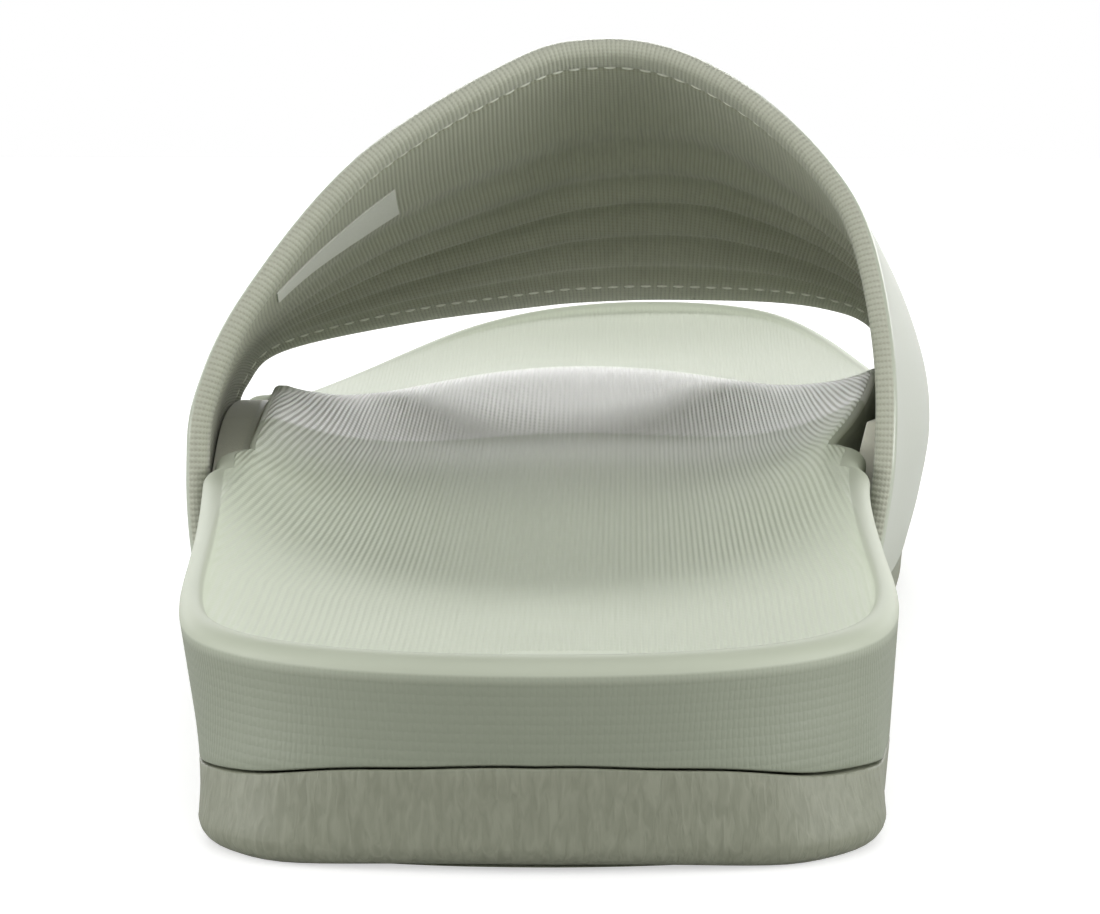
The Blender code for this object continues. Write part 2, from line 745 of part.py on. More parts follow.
def tab_loop(band, side, start, foot, top, high):
    """A closed loop round a tab at a share of its height: along the band's inner face and back.

    At its heel end the lateral tab is lower, and the medial tab leans away from the slot.
    """
    outside = []
    inside = []
    for i in range(TAB_STEPS + 1):
        share = i / TAB_STEPS
        way = start + (TAB_END - start) * share
        rise = high * (1.0 - TAB_DROPS[side] * (1.0 - share))
        point, normal, _ = band.frame(foot + (top - foot) * rise, way)
        place = point - normal * (STRAP_WALL + FIT_GAP)
        inset = slot_inset(place[1], side) - SLOT_WIDTH - TAB_LEANS[side] * (1.0 - share) * high**2
        beside_slot = band.sole.outline.across(place[1], side) - side * inset
        outside.append(place)
        inside.append(np.array((beside_slot, place[1], place[2])))
    return outside + inside[::-1]


def mesh_from_loops(name, loops, steps, turns):
    """A closed mesh along loops with a wall of some steps and edges of some turns, and filled ends."""
    shape = bmesh.new()
    grid = [[shape.verts.new(point) for point in loop] for loop in loops]
    count = len(loops[0])
    for a, b in zip(grid, grid[1:]):
        for k in range(count):
            following = (k + 1) % count
            shape.faces.new((a[k], a[following], b[following], b[k]))
    for end in (grid[0], grid[-1]):
        for k in range(steps):
            mirror = 2 * steps + turns + 1 - k
            shape.faces.new((end[k], end[k + 1], end[mirror - 1], end[mirror]))
        if turns:
            shape.faces.new([end[k] for k in range(steps, steps + turns + 2)])
            shape.faces.new([end[k % count] for k in range(2 * steps + turns + 1, count + 1)])
    bmesh.ops.recalc_face_normals(shape, faces=shape.faces)
    mesh = bpy.data.meshes.new(name)
    shape.to_mesh(mesh)
    shape.free()
    return mesh


def build_strap(band, collection, finish):
    """The padded band: one hollow arch with a wall, open to the back and to the toe."""
    last = len(STRAP_FOLDS) - 1
    loops = [band_loop(band, i / FOLD_STEPS) for i in range(last * FOLD_STEPS + 1)]
    mesh = mesh_from_loops("strap", loops, BAND_STEPS, len(FREE_EDGE_TURNS))
    return add_object("strap", mesh, collection, finish)


def build_tab(band, name, side, collection, finish):
    """A tab inside one foot of the band. It fills the pocket up to the slot beside the footbed."""
    foot = 0.0 if side < 0 else band.rows[-1]
    top = band.fold_at_height(side, 0.5, TAB_HEIGHT)
    back = band.outer(foot, 0.0)[1]
    front = band.outer(foot, 1.0)[1]
    start = (SLOT_STARTS[side] * LENGTH + FIT_GAP - back) / (front - back)
    loops = [tab_loop(band, side, start, foot, top, i / TAB_ROWS) for i in range(TAB_ROWS + 1)]
    return add_object(name, mesh_from_loops(name, loops, TAB_STEPS, 0), collection, finish)


def stand_on_floor(things):
    """Move everything so that the sandal stands on the floor, centred on both axes."""
    corners = []
    for thing in things:
        if not thing.hide_render:
            corners.extend([vertex.co[:] for vertex in thing.data.vertices])
    corners = np.array(corners)
    low = corners.min(axis=0)
    high = corners.max(axis=0)
    shift = Matrix.Translation((-(low[0] + high[0]) / 2.0, -(low[1] + high[1]) / 2.0, -low[2]))
    for thing in things:
        thing.data.transform(shift)


def main():
    for thing in list(bpy.data.objects):
        bpy.data.objects.remove(thing, do_unlink=True)
    parts = bpy.data.collections.new("slide sandal")
    cutters = bpy.data.collections.new("cutters")
    bpy.context.scene.collection.children.link(parts)
    bpy.context.scene.collection.children.link(cutters)

    foam = material("moulded foam, pale sage", FOAM_COLOUR, FOAM_ROUGHNESS)
    tread_foam = material("moulded foam, sage", TREAD_COLOUR, TREAD_ROUGHNESS)
    coated = material("coated synthetic, sage", COATED_COLOUR, COATED_ROUGHNESS)
    suede = material("brushed synthetic, olive", SUEDE_COLOUR, SUEDE_ROUGHNESS)

    sole = Sole(Outline())
    band = Band(sole)
    build_outsole(sole, parts, cutters, tread_foam)
    build_footbed_layer(sole, parts, foam)
    build_strap(band, parts, coated)
    build_tab(band, "strap_tab_lateral", -1, parts, suede)
    build_tab(band, "strap_tab_medial", 1, parts, suede)
    stand_on_floor(list(parts.objects) + list(cutters.objects))


main()
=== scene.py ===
import math

import bmesh
import bpy
import numpy as np
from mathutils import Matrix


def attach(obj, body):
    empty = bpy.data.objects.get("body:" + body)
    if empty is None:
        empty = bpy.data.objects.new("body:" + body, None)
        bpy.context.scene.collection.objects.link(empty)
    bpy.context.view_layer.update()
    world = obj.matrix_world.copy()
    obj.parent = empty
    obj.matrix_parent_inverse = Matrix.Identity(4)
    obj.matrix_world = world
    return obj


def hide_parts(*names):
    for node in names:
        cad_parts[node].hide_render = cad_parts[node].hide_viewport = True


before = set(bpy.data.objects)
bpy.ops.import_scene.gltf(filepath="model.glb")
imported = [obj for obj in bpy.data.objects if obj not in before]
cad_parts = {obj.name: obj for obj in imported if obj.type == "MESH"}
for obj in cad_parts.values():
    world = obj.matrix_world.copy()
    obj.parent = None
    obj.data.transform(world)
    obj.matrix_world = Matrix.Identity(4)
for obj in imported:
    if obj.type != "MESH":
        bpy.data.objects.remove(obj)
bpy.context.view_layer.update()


# Outsole.
# The lower layer of the sole, pressed from sage EVA foam with a crinkled skin. It is glued under the
# midsole along a thin joint, and its tread is cut by two fields of wavy grooves.
LENGTH = 0.303
HEEL_WIDTH = 0.0878
BALL_WIDTH = 0.1055
HEEL_HEIGHT = 0.0265
TOE_SPRING = 0.0085
HEEL_CENTRE = (-0.00138, -0.1515)
LATERAL_TAPER = 0.0032
MEDIAL_TAPER = 0.0014
HEEL_CORNER_FULLNESS = 0.0042
SOLE_EDGE_RADIUS = 0.0030
WAIST_RELIEF = 0.0012
JOINT_LEAN = 0.7
JOINT_GAP = 0.0003
JOINT_EDGE_RADIUS = 0.0003
JOINT_WAVER = 0.00010
TOE_TIP_ACROSS = 0.370
HEEL_SPINE = 0.105
TOE_SPINE = 0.885
GROOVE_WIDTH = 0.0026
GROOVE_DEPTH = 0.0018
GROOVE_PITCH = 0.0125
GROOVE_WAVE = 0.0022
GROOVE_EDGE_MARGIN = 0.0085
GROOVE_HALF_WAVES = 3.0
GROOVE_FIELDS = ((0.075, 0.275), (0.540, 0.800))
GROOVE_STEPS = 40
SLOT_DEPTH = 0.0062

# Outline seen from above: shares of the length and of half the local width.
OUTLINE_COLUMNS = ("along", "lateral", "medial")
OUTLINE = (
    (0.007, 0.400, 0.400),
    (0.033, 0.755, 0.745),
    (0.066, 0.925, 0.915),
    (0.110, 1.000, 0.997),
    (0.200, 1.040, 1.015),
    (0.310, 1.036, 0.970),
    (0.400, 1.015, 0.936),
    (0.500, 0.990, 0.975),
    (0.600, 0.976, 1.022),
    (0.680, 0.952, 1.046),
    (0.750, 0.880, 1.038),
    (0.820, 0.757, 1.000),
    (0.880, 0.592, 0.925),
    (0.940, 0.385, 0.815),
    (0.980, 0.130, 0.660),
)

# Heights along the sole. "ground" is a share of the toe spring, the next four are shares of the heel
# height, "shelf" and the slots are shares of the slot's depth, and "dish" is how flat the bed's middle is.
PROFILE_COLUMNS = (
    "along", "ground", "parting", "rim_lateral", "rim_medial",
    "bed", "shelf", "dish", "slot_lateral", "slot_medial",
)
PROFILE = (
    (0.000, 0.10, 0.510, 1.000, 1.000, 0.800, 0.00, 2.6, 1.00, 1.06),
    (0.036, 0.00, 0.395, 1.000, 1.000, 0.795, 0.00, 2.6, 1.00, 1.06),
    (0.080, 0.00, 0.338, 1.000, 1.000, 0.785, 0.00, 2.6, 1.00, 1.06),
    (0.200, 0.00, 0.320, 1.025, 1.030, 0.755, 0.00, 2.6, 1.00, 1.06),
    (0.320, 0.00, 0.318, 1.065, 1.075, 0.755, 0.50, 2.8, 1.00, 1.06),
    (0.400, 0.00, 0.315, 1.105, 1.125, 0.760, 1.00, 3.0, 1.00, 1.06),
    (0.450, 0.00, 0.314, 1.120, 1.145, 0.765, 1.15, 3.2, 1.00, 1.06),
    (0.500, 0.00, 0.312, 1.145, 1.175, 0.765, 1.25, 3.4, 1.13, 0.98),
    (0.560, 0.00, 0.310, 1.165, 1.215, 0.770, 1.25, 3.4, 1.24, 0.92),
    (0.610, 0.00, 0.308, 1.165, 1.250, 0.775, 1.25, 3.4, 1.25, 0.87),
    (0.660, 0.00, 0.305, 1.060, 1.200, 0.785, 1.15, 3.2, 1.15, 0.82),
    (0.710, 0.01, 0.303, 0.910, 1.050, 0.800, 0.80, 3.0, 1.00, 0.80),
    (0.760, 0.06, 0.310, 0.850, 0.960, 0.815, 0.30, 2.8, 1.00, 0.80),
    (0.820, 0.18, 0.345, 0.845, 0.930, 0.840, 0.00, 2.8, 1.00, 0.80),
    (0.900, 0.48, 0.450, 0.930, 0.985, 0.870, 0.00, 2.6, 1.00, 0.80),
    (1.000, 1.00, 0.620, 1.105, 1.105, 0.990, 0.00, 2.6, 1.00, 0.80),
)


def named_column(table, columns, name):
    """One named column of a table."""
    return np.array([row[columns.index(name)] for row in table])


def smooth_curve(positions, values, where):
    """A smooth curve through a table's values, read at many places."""
    slopes = np.gradient(values, positions)
    level = np.diff(values) == 0.0
    slopes[:-1][level] = 0.0
    slopes[1:][level] = 0.0
    where = np.clip(where, positions[0], positions[-1])
    row = np.clip(np.searchsorted(positions, where, side="right") - 1, 0, len(positions) - 2)
    span = positions[row + 1] - positions[row]
    t = (where - positions[row]) / span
    start = (1.0 + 2.0 * t) * (1.0 - t) ** 2 * values[row]
    start_slope = t * (1.0 - t) ** 2 * span * slopes[row]
    end = t * t * (3.0 - 2.0 * t) * values[row + 1]
    end_slope = t * t * (t - 1.0) * span * slopes[row + 1]
    return start + start_slope + end + end_slope


def ramp(low, high, value):
    """0 below low, 1 above high, and an even S between them."""
    t = np.clip((value - low) / (high - low), 0.0, 1.0)
    return t * t * (3.0 - 2.0 * t)


def closed_curve(points, per_span=45):
    """Points on the smooth closed curve through the given ones."""
    points = np.array(points)
    count = len(points)
    steps = np.linalg.norm(np.roll(points, -1, axis=0) - points, axis=1)
    before = np.roll(steps, 1)
    system = np.zeros((count, count))
    target = np.zeros_like(points)
    for i in range(count):
        following = (i + 1) % count
        system[i, i - 1] = steps[i]
        system[i, i] = 2.0 * (steps[i] + before[i])
        system[i, following] = before[i]
        rise_in = (points[i] - points[i - 1]) / before[i]
        rise_out = (points[following] - points[i]) / steps[i]
        target[i] = 3.0 * (steps[i] * rise_in + before[i] * rise_out)
    slopes = np.linalg.solve(system, target)
    t = (np.arange(per_span) / per_span)[:, None]
    curve = []
    for i in range(count):
        following = (i + 1) % count
        curve.append(
            (1.0 + 2.0 * t) * (1.0 - t) ** 2 * points[i]
            + t * (1.0 - t) ** 2 * steps[i] * slopes[i]
            + t * t * (3.0 - 2.0 * t) * points[following]
            + t * t * (t - 1.0) * steps[i] * slopes[following]
        )
    return np.vstack(curve)


def outline_halves():
    """The outline's lateral and medial halves, each from the heel to the toe."""
    def half_width(along):
        return (HEEL_WIDTH + (BALL_WIDTH - HEEL_WIDTH) * ramp(0.20, 0.62, along)) / 2.0

    rows = [dict(zip(OUTLINE_COLUMNS, row)) for row in OUTLINE]
    corners = [(0.0, 0.0)]
    for row in rows:
        corners.append((-row["lateral"] * half_width(row["along"]), row["along"] * LENGTH))
    corners.append((TOE_TIP_ACROSS * BALL_WIDTH / 2.0, LENGTH))
    for row in reversed(rows):
        corners.append((row["medial"] * half_width(row["along"]), row["along"] * LENGTH))
    curve = closed_curve(corners)
    low = curve[:, 1].min()
    high = curve[:, 1].max()
    curve[:, 1] = (curve[:, 1] - low) * LENGTH / (high - low)
    curve = np.roll(curve, -int(curve[:, 1].argmin()), axis=0)
    toe = int(curve[:, 1].argmax())
    return curve[: toe + 1], np.vstack([curve[toe:], curve[:1]])[::-1]


LATERAL_HALF, MEDIAL_HALF = outline_halves()


def outline_across(y, side):
    """X of the outline at a distance from the heel, on side -1 (lateral) or 1 (medial)."""
    lateral = np.interp(y, LATERAL_HALF[:, 1], LATERAL_HALF[:, 0])
    medial = np.interp(y, MEDIAL_HALF[:, 1], MEDIAL_HALF[:, 0])
    return np.where(np.asarray(side) < 0, lateral, medial)


def sole_profile(name, y):
    """A value of the sole's profile at a distance from the heel."""
    slots = {"shelf": SLOT_DEPTH, "slot_lateral": SLOT_DEPTH, "slot_medial": SLOT_DEPTH}
    unit = {"ground": TOE_SPRING, "dish": 1.0, **slots}.get(name, HEEL_HEIGHT)
    positions = named_column(PROFILE, PROFILE_COLUMNS, "along")
    return unit * smooth_curve(positions, named_column(PROFILE, PROFILE_COLUMNS, name), y / LENGTH)


class SoleWalk:
    """One walk round the sole, up the lateral side to the toe and back on the medial side."""

    def __init__(self, places):
        places = np.array(sorted(places))
        self.y = np.concatenate([places, places[-2:0:-1]])
        self.side = np.concatenate([-np.ones(len(places)), np.ones(len(places) - 2)])
        self.edge = np.stack([outline_across(self.y, self.side), self.y], axis=1)
        spine_y = np.clip(self.y, HEEL_SPINE * LENGTH, TOE_SPINE * LENGTH)
        middle = (outline_across(spine_y, -1) + outline_across(spine_y, 1)) / 2.0
        self.spine = np.stack([middle, spine_y], axis=1)
        self.reach = np.linalg.norm(self.edge - self.spine, axis=1)
        self.girth = self.measure_girth(len(places))

    def measure_girth(self, toe):
        """Distance round the outline from the heel, the same at the toe from both sides."""
        loop = np.vstack([self.edge, self.edge[:1]])
        steps = np.linalg.norm(np.diff(loop, axis=0), axis=1)
        lateral = np.concatenate([[0.0], np.cumsum(steps[: toe - 1])])
        medial = np.concatenate([[0.0], np.cumsum(steps[toe - 1:][::-1])])[::-1]
        medial = medial * lateral[-1] / medial[0]
        return np.concatenate([lateral, medial[1:-1]])

    def share(self, inset):
        """Share of the way from the spine to the outline that an inset leaves."""
        return 1.0 - np.minimum(inset / self.reach, 1.0)

    def inset_of_share(self, share):
        return self.reach * (1.0 - share)

    def lean(self, lean):
        """Inset of the side below the rim, which leans in and is fuller at the heel's corners."""
        place = self.y / LENGTH
        corner = ramp(0.0, 0.03, place) * (1.0 - ramp(0.045, 0.110, place))
        middle = (LATERAL_TAPER + MEDIAL_TAPER) / 2.0
        taper = np.where(self.side < 0, LATERAL_TAPER, MEDIAL_TAPER)
        beside = ramp(0.0, 0.08, place) * (1.0 - ramp(0.90, 1.0, place))
        return (middle + (taper - middle) * beside) * lean - HEEL_CORNER_FULLNESS * corner * lean**2

    def between(self, name, inset):
        """A profile height that goes from the spine's own to the outline's own."""
        edge = sole_profile(name, self.y)
        middle = sole_profile(name, self.spine[:, 1])
        return middle + (edge - middle) * self.share(inset) ** 2

    def parting(self, inset):
        """Height of the joint between the layers, which wavers a little as glued foam does."""
        waver = np.sin(self.girth / 0.0031) + np.sin(self.girth / 0.0083 + 1.0)
        return self.between("parting", inset) + JOINT_WAVER * waver * self.share(inset) ** 8

    def tread(self, inset):
        """Height of the tread, lifted a little at the waist."""
        place = self.y / LENGTH
        waist = ramp(0.30, 0.36, place) * (1.0 - ramp(0.46, 0.52, place))
        inner = 1.0 - ramp(0.72, 0.86, self.share(inset))
        return self.between("ground", inset) + WAIST_RELIEF * waist * inner

    def plan(self, inset):
        """X and Y at an inset, from the heel's own centre line."""
        return self.spine + self.share(inset)[:, None] * (self.edge - self.spine)

    def ring(self, inset, height):
        """One loop of points at an inset and a height."""
        plan = self.plan(inset)
        x = plan[:, 0] + HEEL_CENTRE[0]
        y = plan[:, 1] + HEEL_CENTRE[1]
        return np.stack([x, y, np.broadcast_to(height, x.shape)], axis=1)


def sole_places(side_count, end_count, extra=()):
    """Distances from the heel of a walk's points, close together at the rounded ends."""
    turns = np.linspace(0.0, math.pi / 2.0, end_count, endpoint=False)
    heel_end = HEEL_SPINE * LENGTH
    toe_start = TOE_SPINE * LENGTH
    heel = heel_end * (1.0 - np.cos(turns))
    toe = LENGTH - (LENGTH - toe_start) * (1.0 - np.cos(turns))
    sides = np.linspace(heel_end, toe_start, side_count)
    places = np.concatenate([heel, sides, toe])
    if len(extra):
        extra = np.array(sorted(extra))
        room = np.abs(places[:, None] - extra[None, :]).min(axis=1)
        places = np.concatenate([places[room > 0.0007], extra])
    return places


def mesh_from_rings(name, rings, points_say=None):
    """A closed mesh from loops whose end loops fold onto the spine, with a value for each point."""
    shape = bmesh.new()
    layers = {key: shape.verts.layers.float.new(key) for key in (points_say or {})}
    grid = []
    for i, loop in enumerate(rings):
        row = [shape.verts.new(point) for point in loop]
        for key, layer in layers.items():
            values = np.broadcast_to(points_say[key][i], len(row))
            for vertex, value in zip(row, values):
                vertex[layer] = float(value)
        grid.append(row)
    count = len(grid[0])
    for lower, upper in zip(grid, grid[1:]):
        for k in range(count):
            following = (k + 1) % count
            shape.faces.new((lower[k], lower[following], upper[following], upper[k]))
    bmesh.ops.remove_doubles(shape, verts=shape.verts, dist=1e-7)
    bmesh.ops.dissolve_degenerate(shape, edges=shape.edges, dist=1e-7)
    bmesh.ops.recalc_face_normals(shape, faces=shape.faces)
    mesh = bpy.data.meshes.new(name)
    shape.to_mesh(mesh)
    shape.free()
    return mesh


def add_piece(name, mesh, finishes, sharp_degrees=40.0):
    """A mesh as a smooth-shaded piece with its finishes."""
    piece = bpy.data.objects.new(name, mesh)
    bpy.context.scene.collection.objects.link(piece)
    for finish in finishes:
        mesh.materials.append(finish)
    mesh.shade_smooth()
    mesh.set_sharp_from_angle(angle=math.radians(sharp_degrees))
    return piece


def hex_colour(code):
    """An sRGB hex colour as linear RGBA."""
    parts = [int(code[i:i + 2], 16) / 255.0 for i in (1, 3, 5)]
    linear = [c / 12.92 if c <= 0.04045 else ((c + 0.055) / 1.055) ** 2.4 for c in parts]
    return (*linear, 1.0)


def add_node(tree, kind, settings, inputs):
    """Adds a node, sets its options, and sets its inputs or links them to (node, output)."""
    node = tree.nodes.new(kind)
    for name, value in settings.items():
        setattr(node, name, value)
    for socket, value in inputs.items():
        if isinstance(value, tuple) and isinstance(value[0], bpy.types.Node):
            tree.links.new(value[0].outputs[value[1]], node.inputs[socket])
        else:
            node.inputs[socket].default_value = value
    return node


def new_finish(name):
    """A new material, its node tree and its shader."""
    finish = bpy.data.materials.new(name)
    finish.use_nodes = True
    return finish, finish.node_tree, finish.node_tree.nodes["Principled BSDF"]


def crinkled_foam():
    """EVA foam pressed in a mould with a crinkled skin: fine wrinkles that run mostly upright."""
    finish, tree, shader = new_finish("EVA foam, pressed with a crinkled skin")
    place = add_node(tree, "ShaderNodeTexCoord", {}, {})
    wrinkle_place = add_node(tree, "ShaderNodeMapping", {}, {
        "Vector": (place, "Object"), "Rotation": (0.0, math.radians(9.0), 0.0),
        "Scale": (1.0, 1.0, 0.24)})
    # Wrinkles about 0.9 mm apart and 4 mm long.
    wrinkles = add_node(tree, "ShaderNodeTexNoise", {}, {
        "Vector": (wrinkle_place, "Vector"), "Scale": 1150.0, "Detail": 2.0, "Roughness": 0.45,
        "Distortion": 0.9})
    patches = add_node(tree, "ShaderNodeTexNoise", {}, {
        "Vector": (place, "Object"), "Scale": 95.0, "Detail": 2.0})
    strength = add_node(tree, "ShaderNodeMapRange", {}, {
        "Value": (patches, "Fac"), "From Min": 0.35, "From Max": 0.65, "To Min": 0.35, "To Max": 1.0})
    height = add_node(tree, "ShaderNodeMath", {"operation": "MULTIPLY"}, {
        0: (wrinkles, "Fac"), 1: (strength, "Result")})
    bump = add_node(tree, "ShaderNodeBump", {}, {
        "Height": (height, "Value"), "Strength": 0.62, "Distance": 0.00042})
    # Painted shade: the colour is darker in the wrinkles' hollows, and both colours are darker than the
    # footbed's foam, standing in for the shade on the outsole's side.
    shade = add_node(tree, "ShaderNodeMapRange", {}, {
        "Value": (wrinkles, "Fac"), "From Min": 0.32, "From Max": 0.68})
    colour = add_node(tree, "ShaderNodeMix", {"data_type": "RGBA"}, {
        0: (shade, "Result"), 6: hex_colour("#787b6a"), 7: hex_colour("#858877")})
    tree.links.new(colour.outputs[2], shader.inputs["Base Color"])
    tree.links.new(bump.outputs["Normal"], shader.inputs["Normal"])
    shader.inputs["Roughness"].default_value = 0.52
    shader.inputs["IOR"].default_value = 1.45
    return finish


def groove_lines():
    """The middle lines of the tread's grooves, as one mesh of open chains."""
    points = []
    edges = []
    for start, end in GROOVE_FIELDS:
        room = (end - start) * LENGTH
        count = int(room / GROOVE_PITCH)
        first = start * LENGTH + (room - (count - 1) * GROOVE_PITCH) / 2.0
        for i in range(count):
            y = first + GROOVE_PITCH * i
            left = float(outline_across(y, -1)) + GROOVE_EDGE_MARGIN
            right = float(outline_across(y, 1)) - GROOVE_EDGE_MARGIN
            ground = float(sole_profile("ground", np.array([y]))[0])
            for k in range(GROOVE_STEPS + 1):
                share = k / GROOVE_STEPS
                wave = GROOVE_WAVE * math.cos(math.pi * GROOVE_HALF_WAVES * share)
                x = left + (right - left) * share
                points.append((x + HEEL_CENTRE[0], y + wave + HEEL_CENTRE[1], ground))
                if k:
                    edges.append((len(points) - 2, len(points) - 1))
    mesh = bpy.data.meshes.new("groove lines")
    mesh.from_pydata(points, edges, [])
    return mesh


def groove_tree():
    """A bar of the groove's width and twice its depth along each line."""
    tree = bpy.data.node_groups.new("tread groove bars", "GeometryNodeTree")
    tree.interface.new_socket("Lines", in_out="INPUT", socket_type="NodeSocketGeometry")
    tree.interface.new_socket("Groove width", in_out="INPUT", socket_type="NodeSocketFloat")
    tree.interface.new_socket("Groove depth", in_out="INPUT", socket_type="NodeSocketFloat")
    tree.interface.new_socket("Finish", in_out="INPUT", socket_type="NodeSocketMaterial")
    tree.interface.new_socket("Bars", in_out="OUTPUT", socket_type="NodeSocketGeometry")
    given = add_node(tree, "NodeGroupInput", {}, {})
    line = add_node(tree, "GeometryNodeMeshToCurve", {}, {"Mesh": (given, "Lines")})
    upright = add_node(tree, "GeometryNodeSetCurveNormal", {"mode": "Z_UP"}, {"Curve": (line, "Curve")})
    double = add_node(tree, "ShaderNodeMath", {"operation": "MULTIPLY"}, {0: (given, "Groove depth"), 1: 2.0})
    section = add_node(tree, "GeometryNodeCurvePrimitiveQuadrilateral", {}, {
        "Width": (given, "Groove width"), "Height": (double, "Value")})
    bars = add_node(tree, "GeometryNodeCurveToMesh", {}, {
        "Curve": (upright, "Curve"), "Profile Curve": (section, "Curve"), "Fill Caps": True})
    real = add_node(tree, "GeometryNodeRealizeInstances", {}, {"Geometry": (bars, "Mesh")})
    dressed = add_node(tree, "GeometryNodeSetMaterial", {}, {
        "Geometry": (real, "Geometry"), "Material": (given, "Finish")})
    add_node(tree, "NodeGroupOutput", {}, {"Bars": (dressed, "Geometry")})
    return tree


def grown_mesh(name, source, tree, values):
    """The plain mesh that a Geometry Nodes tree makes of a source mesh, with its named inputs set."""
    holder = bpy.data.objects.new(name, source)
    bpy.context.scene.collection.objects.link(holder)
    grow = holder.modifiers.new(name, "NODES")
    grow.node_group = tree
    sockets = {item.name: item.identifier for item in tree.interface.items_tree if item.in_out == "INPUT"}
    for key, value in values.items():
        grow[sockets[key]] = value
    bpy.context.view_layer.update()
    reading = bpy.context.evaluated_depsgraph_get()
    mesh = bpy.data.meshes.new_from_object(holder.evaluated_get(reading))
    mesh.name = name
    bpy.data.objects.remove(holder, do_unlink=True)
    return mesh


def make_outsole():
    walk = SoleWalk(sole_places(110, 26))
    rings = []
    for share in (0.0, 0.3, 0.6, 0.8, 0.9):
        inset = walk.inset_of_share(share)
        rings.append(walk.ring(inset, walk.parting(inset)))
    side = walk.lean(JOINT_LEAN)
    top = walk.parting(side)
    for turn in (0.0, 30.0, 60.0, 90.0):
        angle = math.radians(turn)
        inset = side + JOINT_EDGE_RADIUS * (1.0 - math.sin(angle))
        rings.append(walk.ring(inset, top - JOINT_EDGE_RADIUS * (1.0 - math.cos(angle))))
    side_start = top - JOINT_EDGE_RADIUS
    edge_start = walk.tread(0.0) + SOLE_EDGE_RADIUS
    for rise in (0.2, 0.4, 0.6, 0.8):
        inset = walk.lean(JOINT_LEAN + (1.0 - JOINT_LEAN) * rise)
        rings.append(walk.ring(inset, side_start + (edge_start - side_start) * rise))
    for turn in range(0, 91, 10):
        angle = math.radians(turn)
        inset = walk.lean(1.0) + SOLE_EDGE_RADIUS * (1.0 - math.cos(angle))
        rings.append(walk.ring(inset, edge_start - SOLE_EDGE_RADIUS * math.sin(angle)))
    for share in (0.86, 0.82, 0.78, 0.74, 0.70, 0.55, 0.35, 0.15, 0.0):
        inset = walk.inset_of_share(share)
        rings.append(walk.ring(inset, walk.tread(inset)))
    foam = crinkled_foam()
    piece = add_piece("outsole_body", mesh_from_rings("outsole_body", rings), [foam])
    bars = grown_mesh("groove bars", groove_lines(), groove_tree(), {
        "Groove width": GROOVE_WIDTH, "Groove depth": GROOVE_DEPTH, "Finish": foam})
    cutter = bpy.data.objects.new("groove bars", bars)
    bpy.context.scene.collection.objects.link(cutter)
    cut = piece.modifiers.new("tread grooves", "BOOLEAN")
    cut.operation = "DIFFERENCE"
    cut.solver = "EXACT"
    cut.object = cutter
    bpy.context.view_layer.update()
    reading = bpy.context.evaluated_depsgraph_get()
    piece.data = bpy.data.meshes.new_from_object(piece.evaluated_get(reading))
    piece.modifiers.clear()
    bpy.data.objects.remove(cutter, do_unlink=True)
    return piece


outsole = make_outsole()
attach(outsole, "root")
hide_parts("outsole")


# Footbed and midsole.
# The upper layer, one pressing of paler EVA foam. Its bed has fine ribs from heel to toe, a dish for the
# heel and a curved ridge for the toes. Its side has a pressed weave, and the rim between is smooth.
RIM_RADIUS = 0.0024
POCKET_RIM_RADIUS = 0.0007
RIM_FALL = 0.0011
POCKET_CORNER = 0.0045
STRAP_WALL = 0.0030
STRAP_PROUD = 0.0022
SLOT_WIDTH = 0.0012
FOOT_TUCK = 0.0016
FOOT_CUT = 0.0024
FIT_GAP = 0.0003
POCKET_ENDS = {-1: (0.399, 0.664), 1: (0.399, 0.694)}
SLOT_STARTS = {-1: 0.439, 1: 0.443}
RIDGE_HEIGHT = 0.0064
RIDGE_MIDDLE = 0.0042
RIDGE_FOOT = 0.672
RIDGE_BEND = 0.205
RIB_PITCH = 0.00077
RIB_STEP = 0.00105
BED_RINGS = 48
WEAVE_UPRIGHT_PITCH = 0.00070
WEAVE_LEVEL_PITCH = 0.00115
PANEL_MIDDLE = (0.0022, -0.1310)
PANEL_SIZE = (0.0148, 0.0260)
PANEL_CORNER = 0.0020
PANEL_BORDER = (0.0002, 0.0004)


# The toe ridge from its foot towards the toe: shares of the length and of the ridge's height.
RIDGE_COLUMNS = ("past", "rise")
RIDGE = (
    (-0.040, 0.00),
    (0.000, 0.00),
    (0.006, 0.07),
    (0.024, 0.34),
    (0.044, 0.65),
    (0.059, 0.87),
    (0.068, 0.96),
    (0.077, 1.00),
    (0.090, 0.95),
    (0.115, 0.70),
    (0.150, 0.32),
    (0.190, 0.06),
    (0.220, 0.00),
    (0.260, 0.00),
)


def pocket_range(side):
    """Where the side is cut back for the band's foot, from the heel."""
    start, end = POCKET_ENDS[side]
    reach = STRAP_WALL / 2.0 + 2.0 * FIT_GAP
    return start * LENGTH - reach, end * LENGTH + reach


def slot_inset(y, side):
    """How far in from the outline the slot's inner wall stands."""
    return np.where(np.asarray(side) < 0, sole_profile("slot_lateral", y), sole_profile("slot_medial", y))


def rounded_step(into, radius):
    """Share of a cut that is reached past its start, round a corner."""
    t = np.clip(into / radius, 0.0, 1.0)
    return 1.0 - np.sqrt(1.0 - t**2)


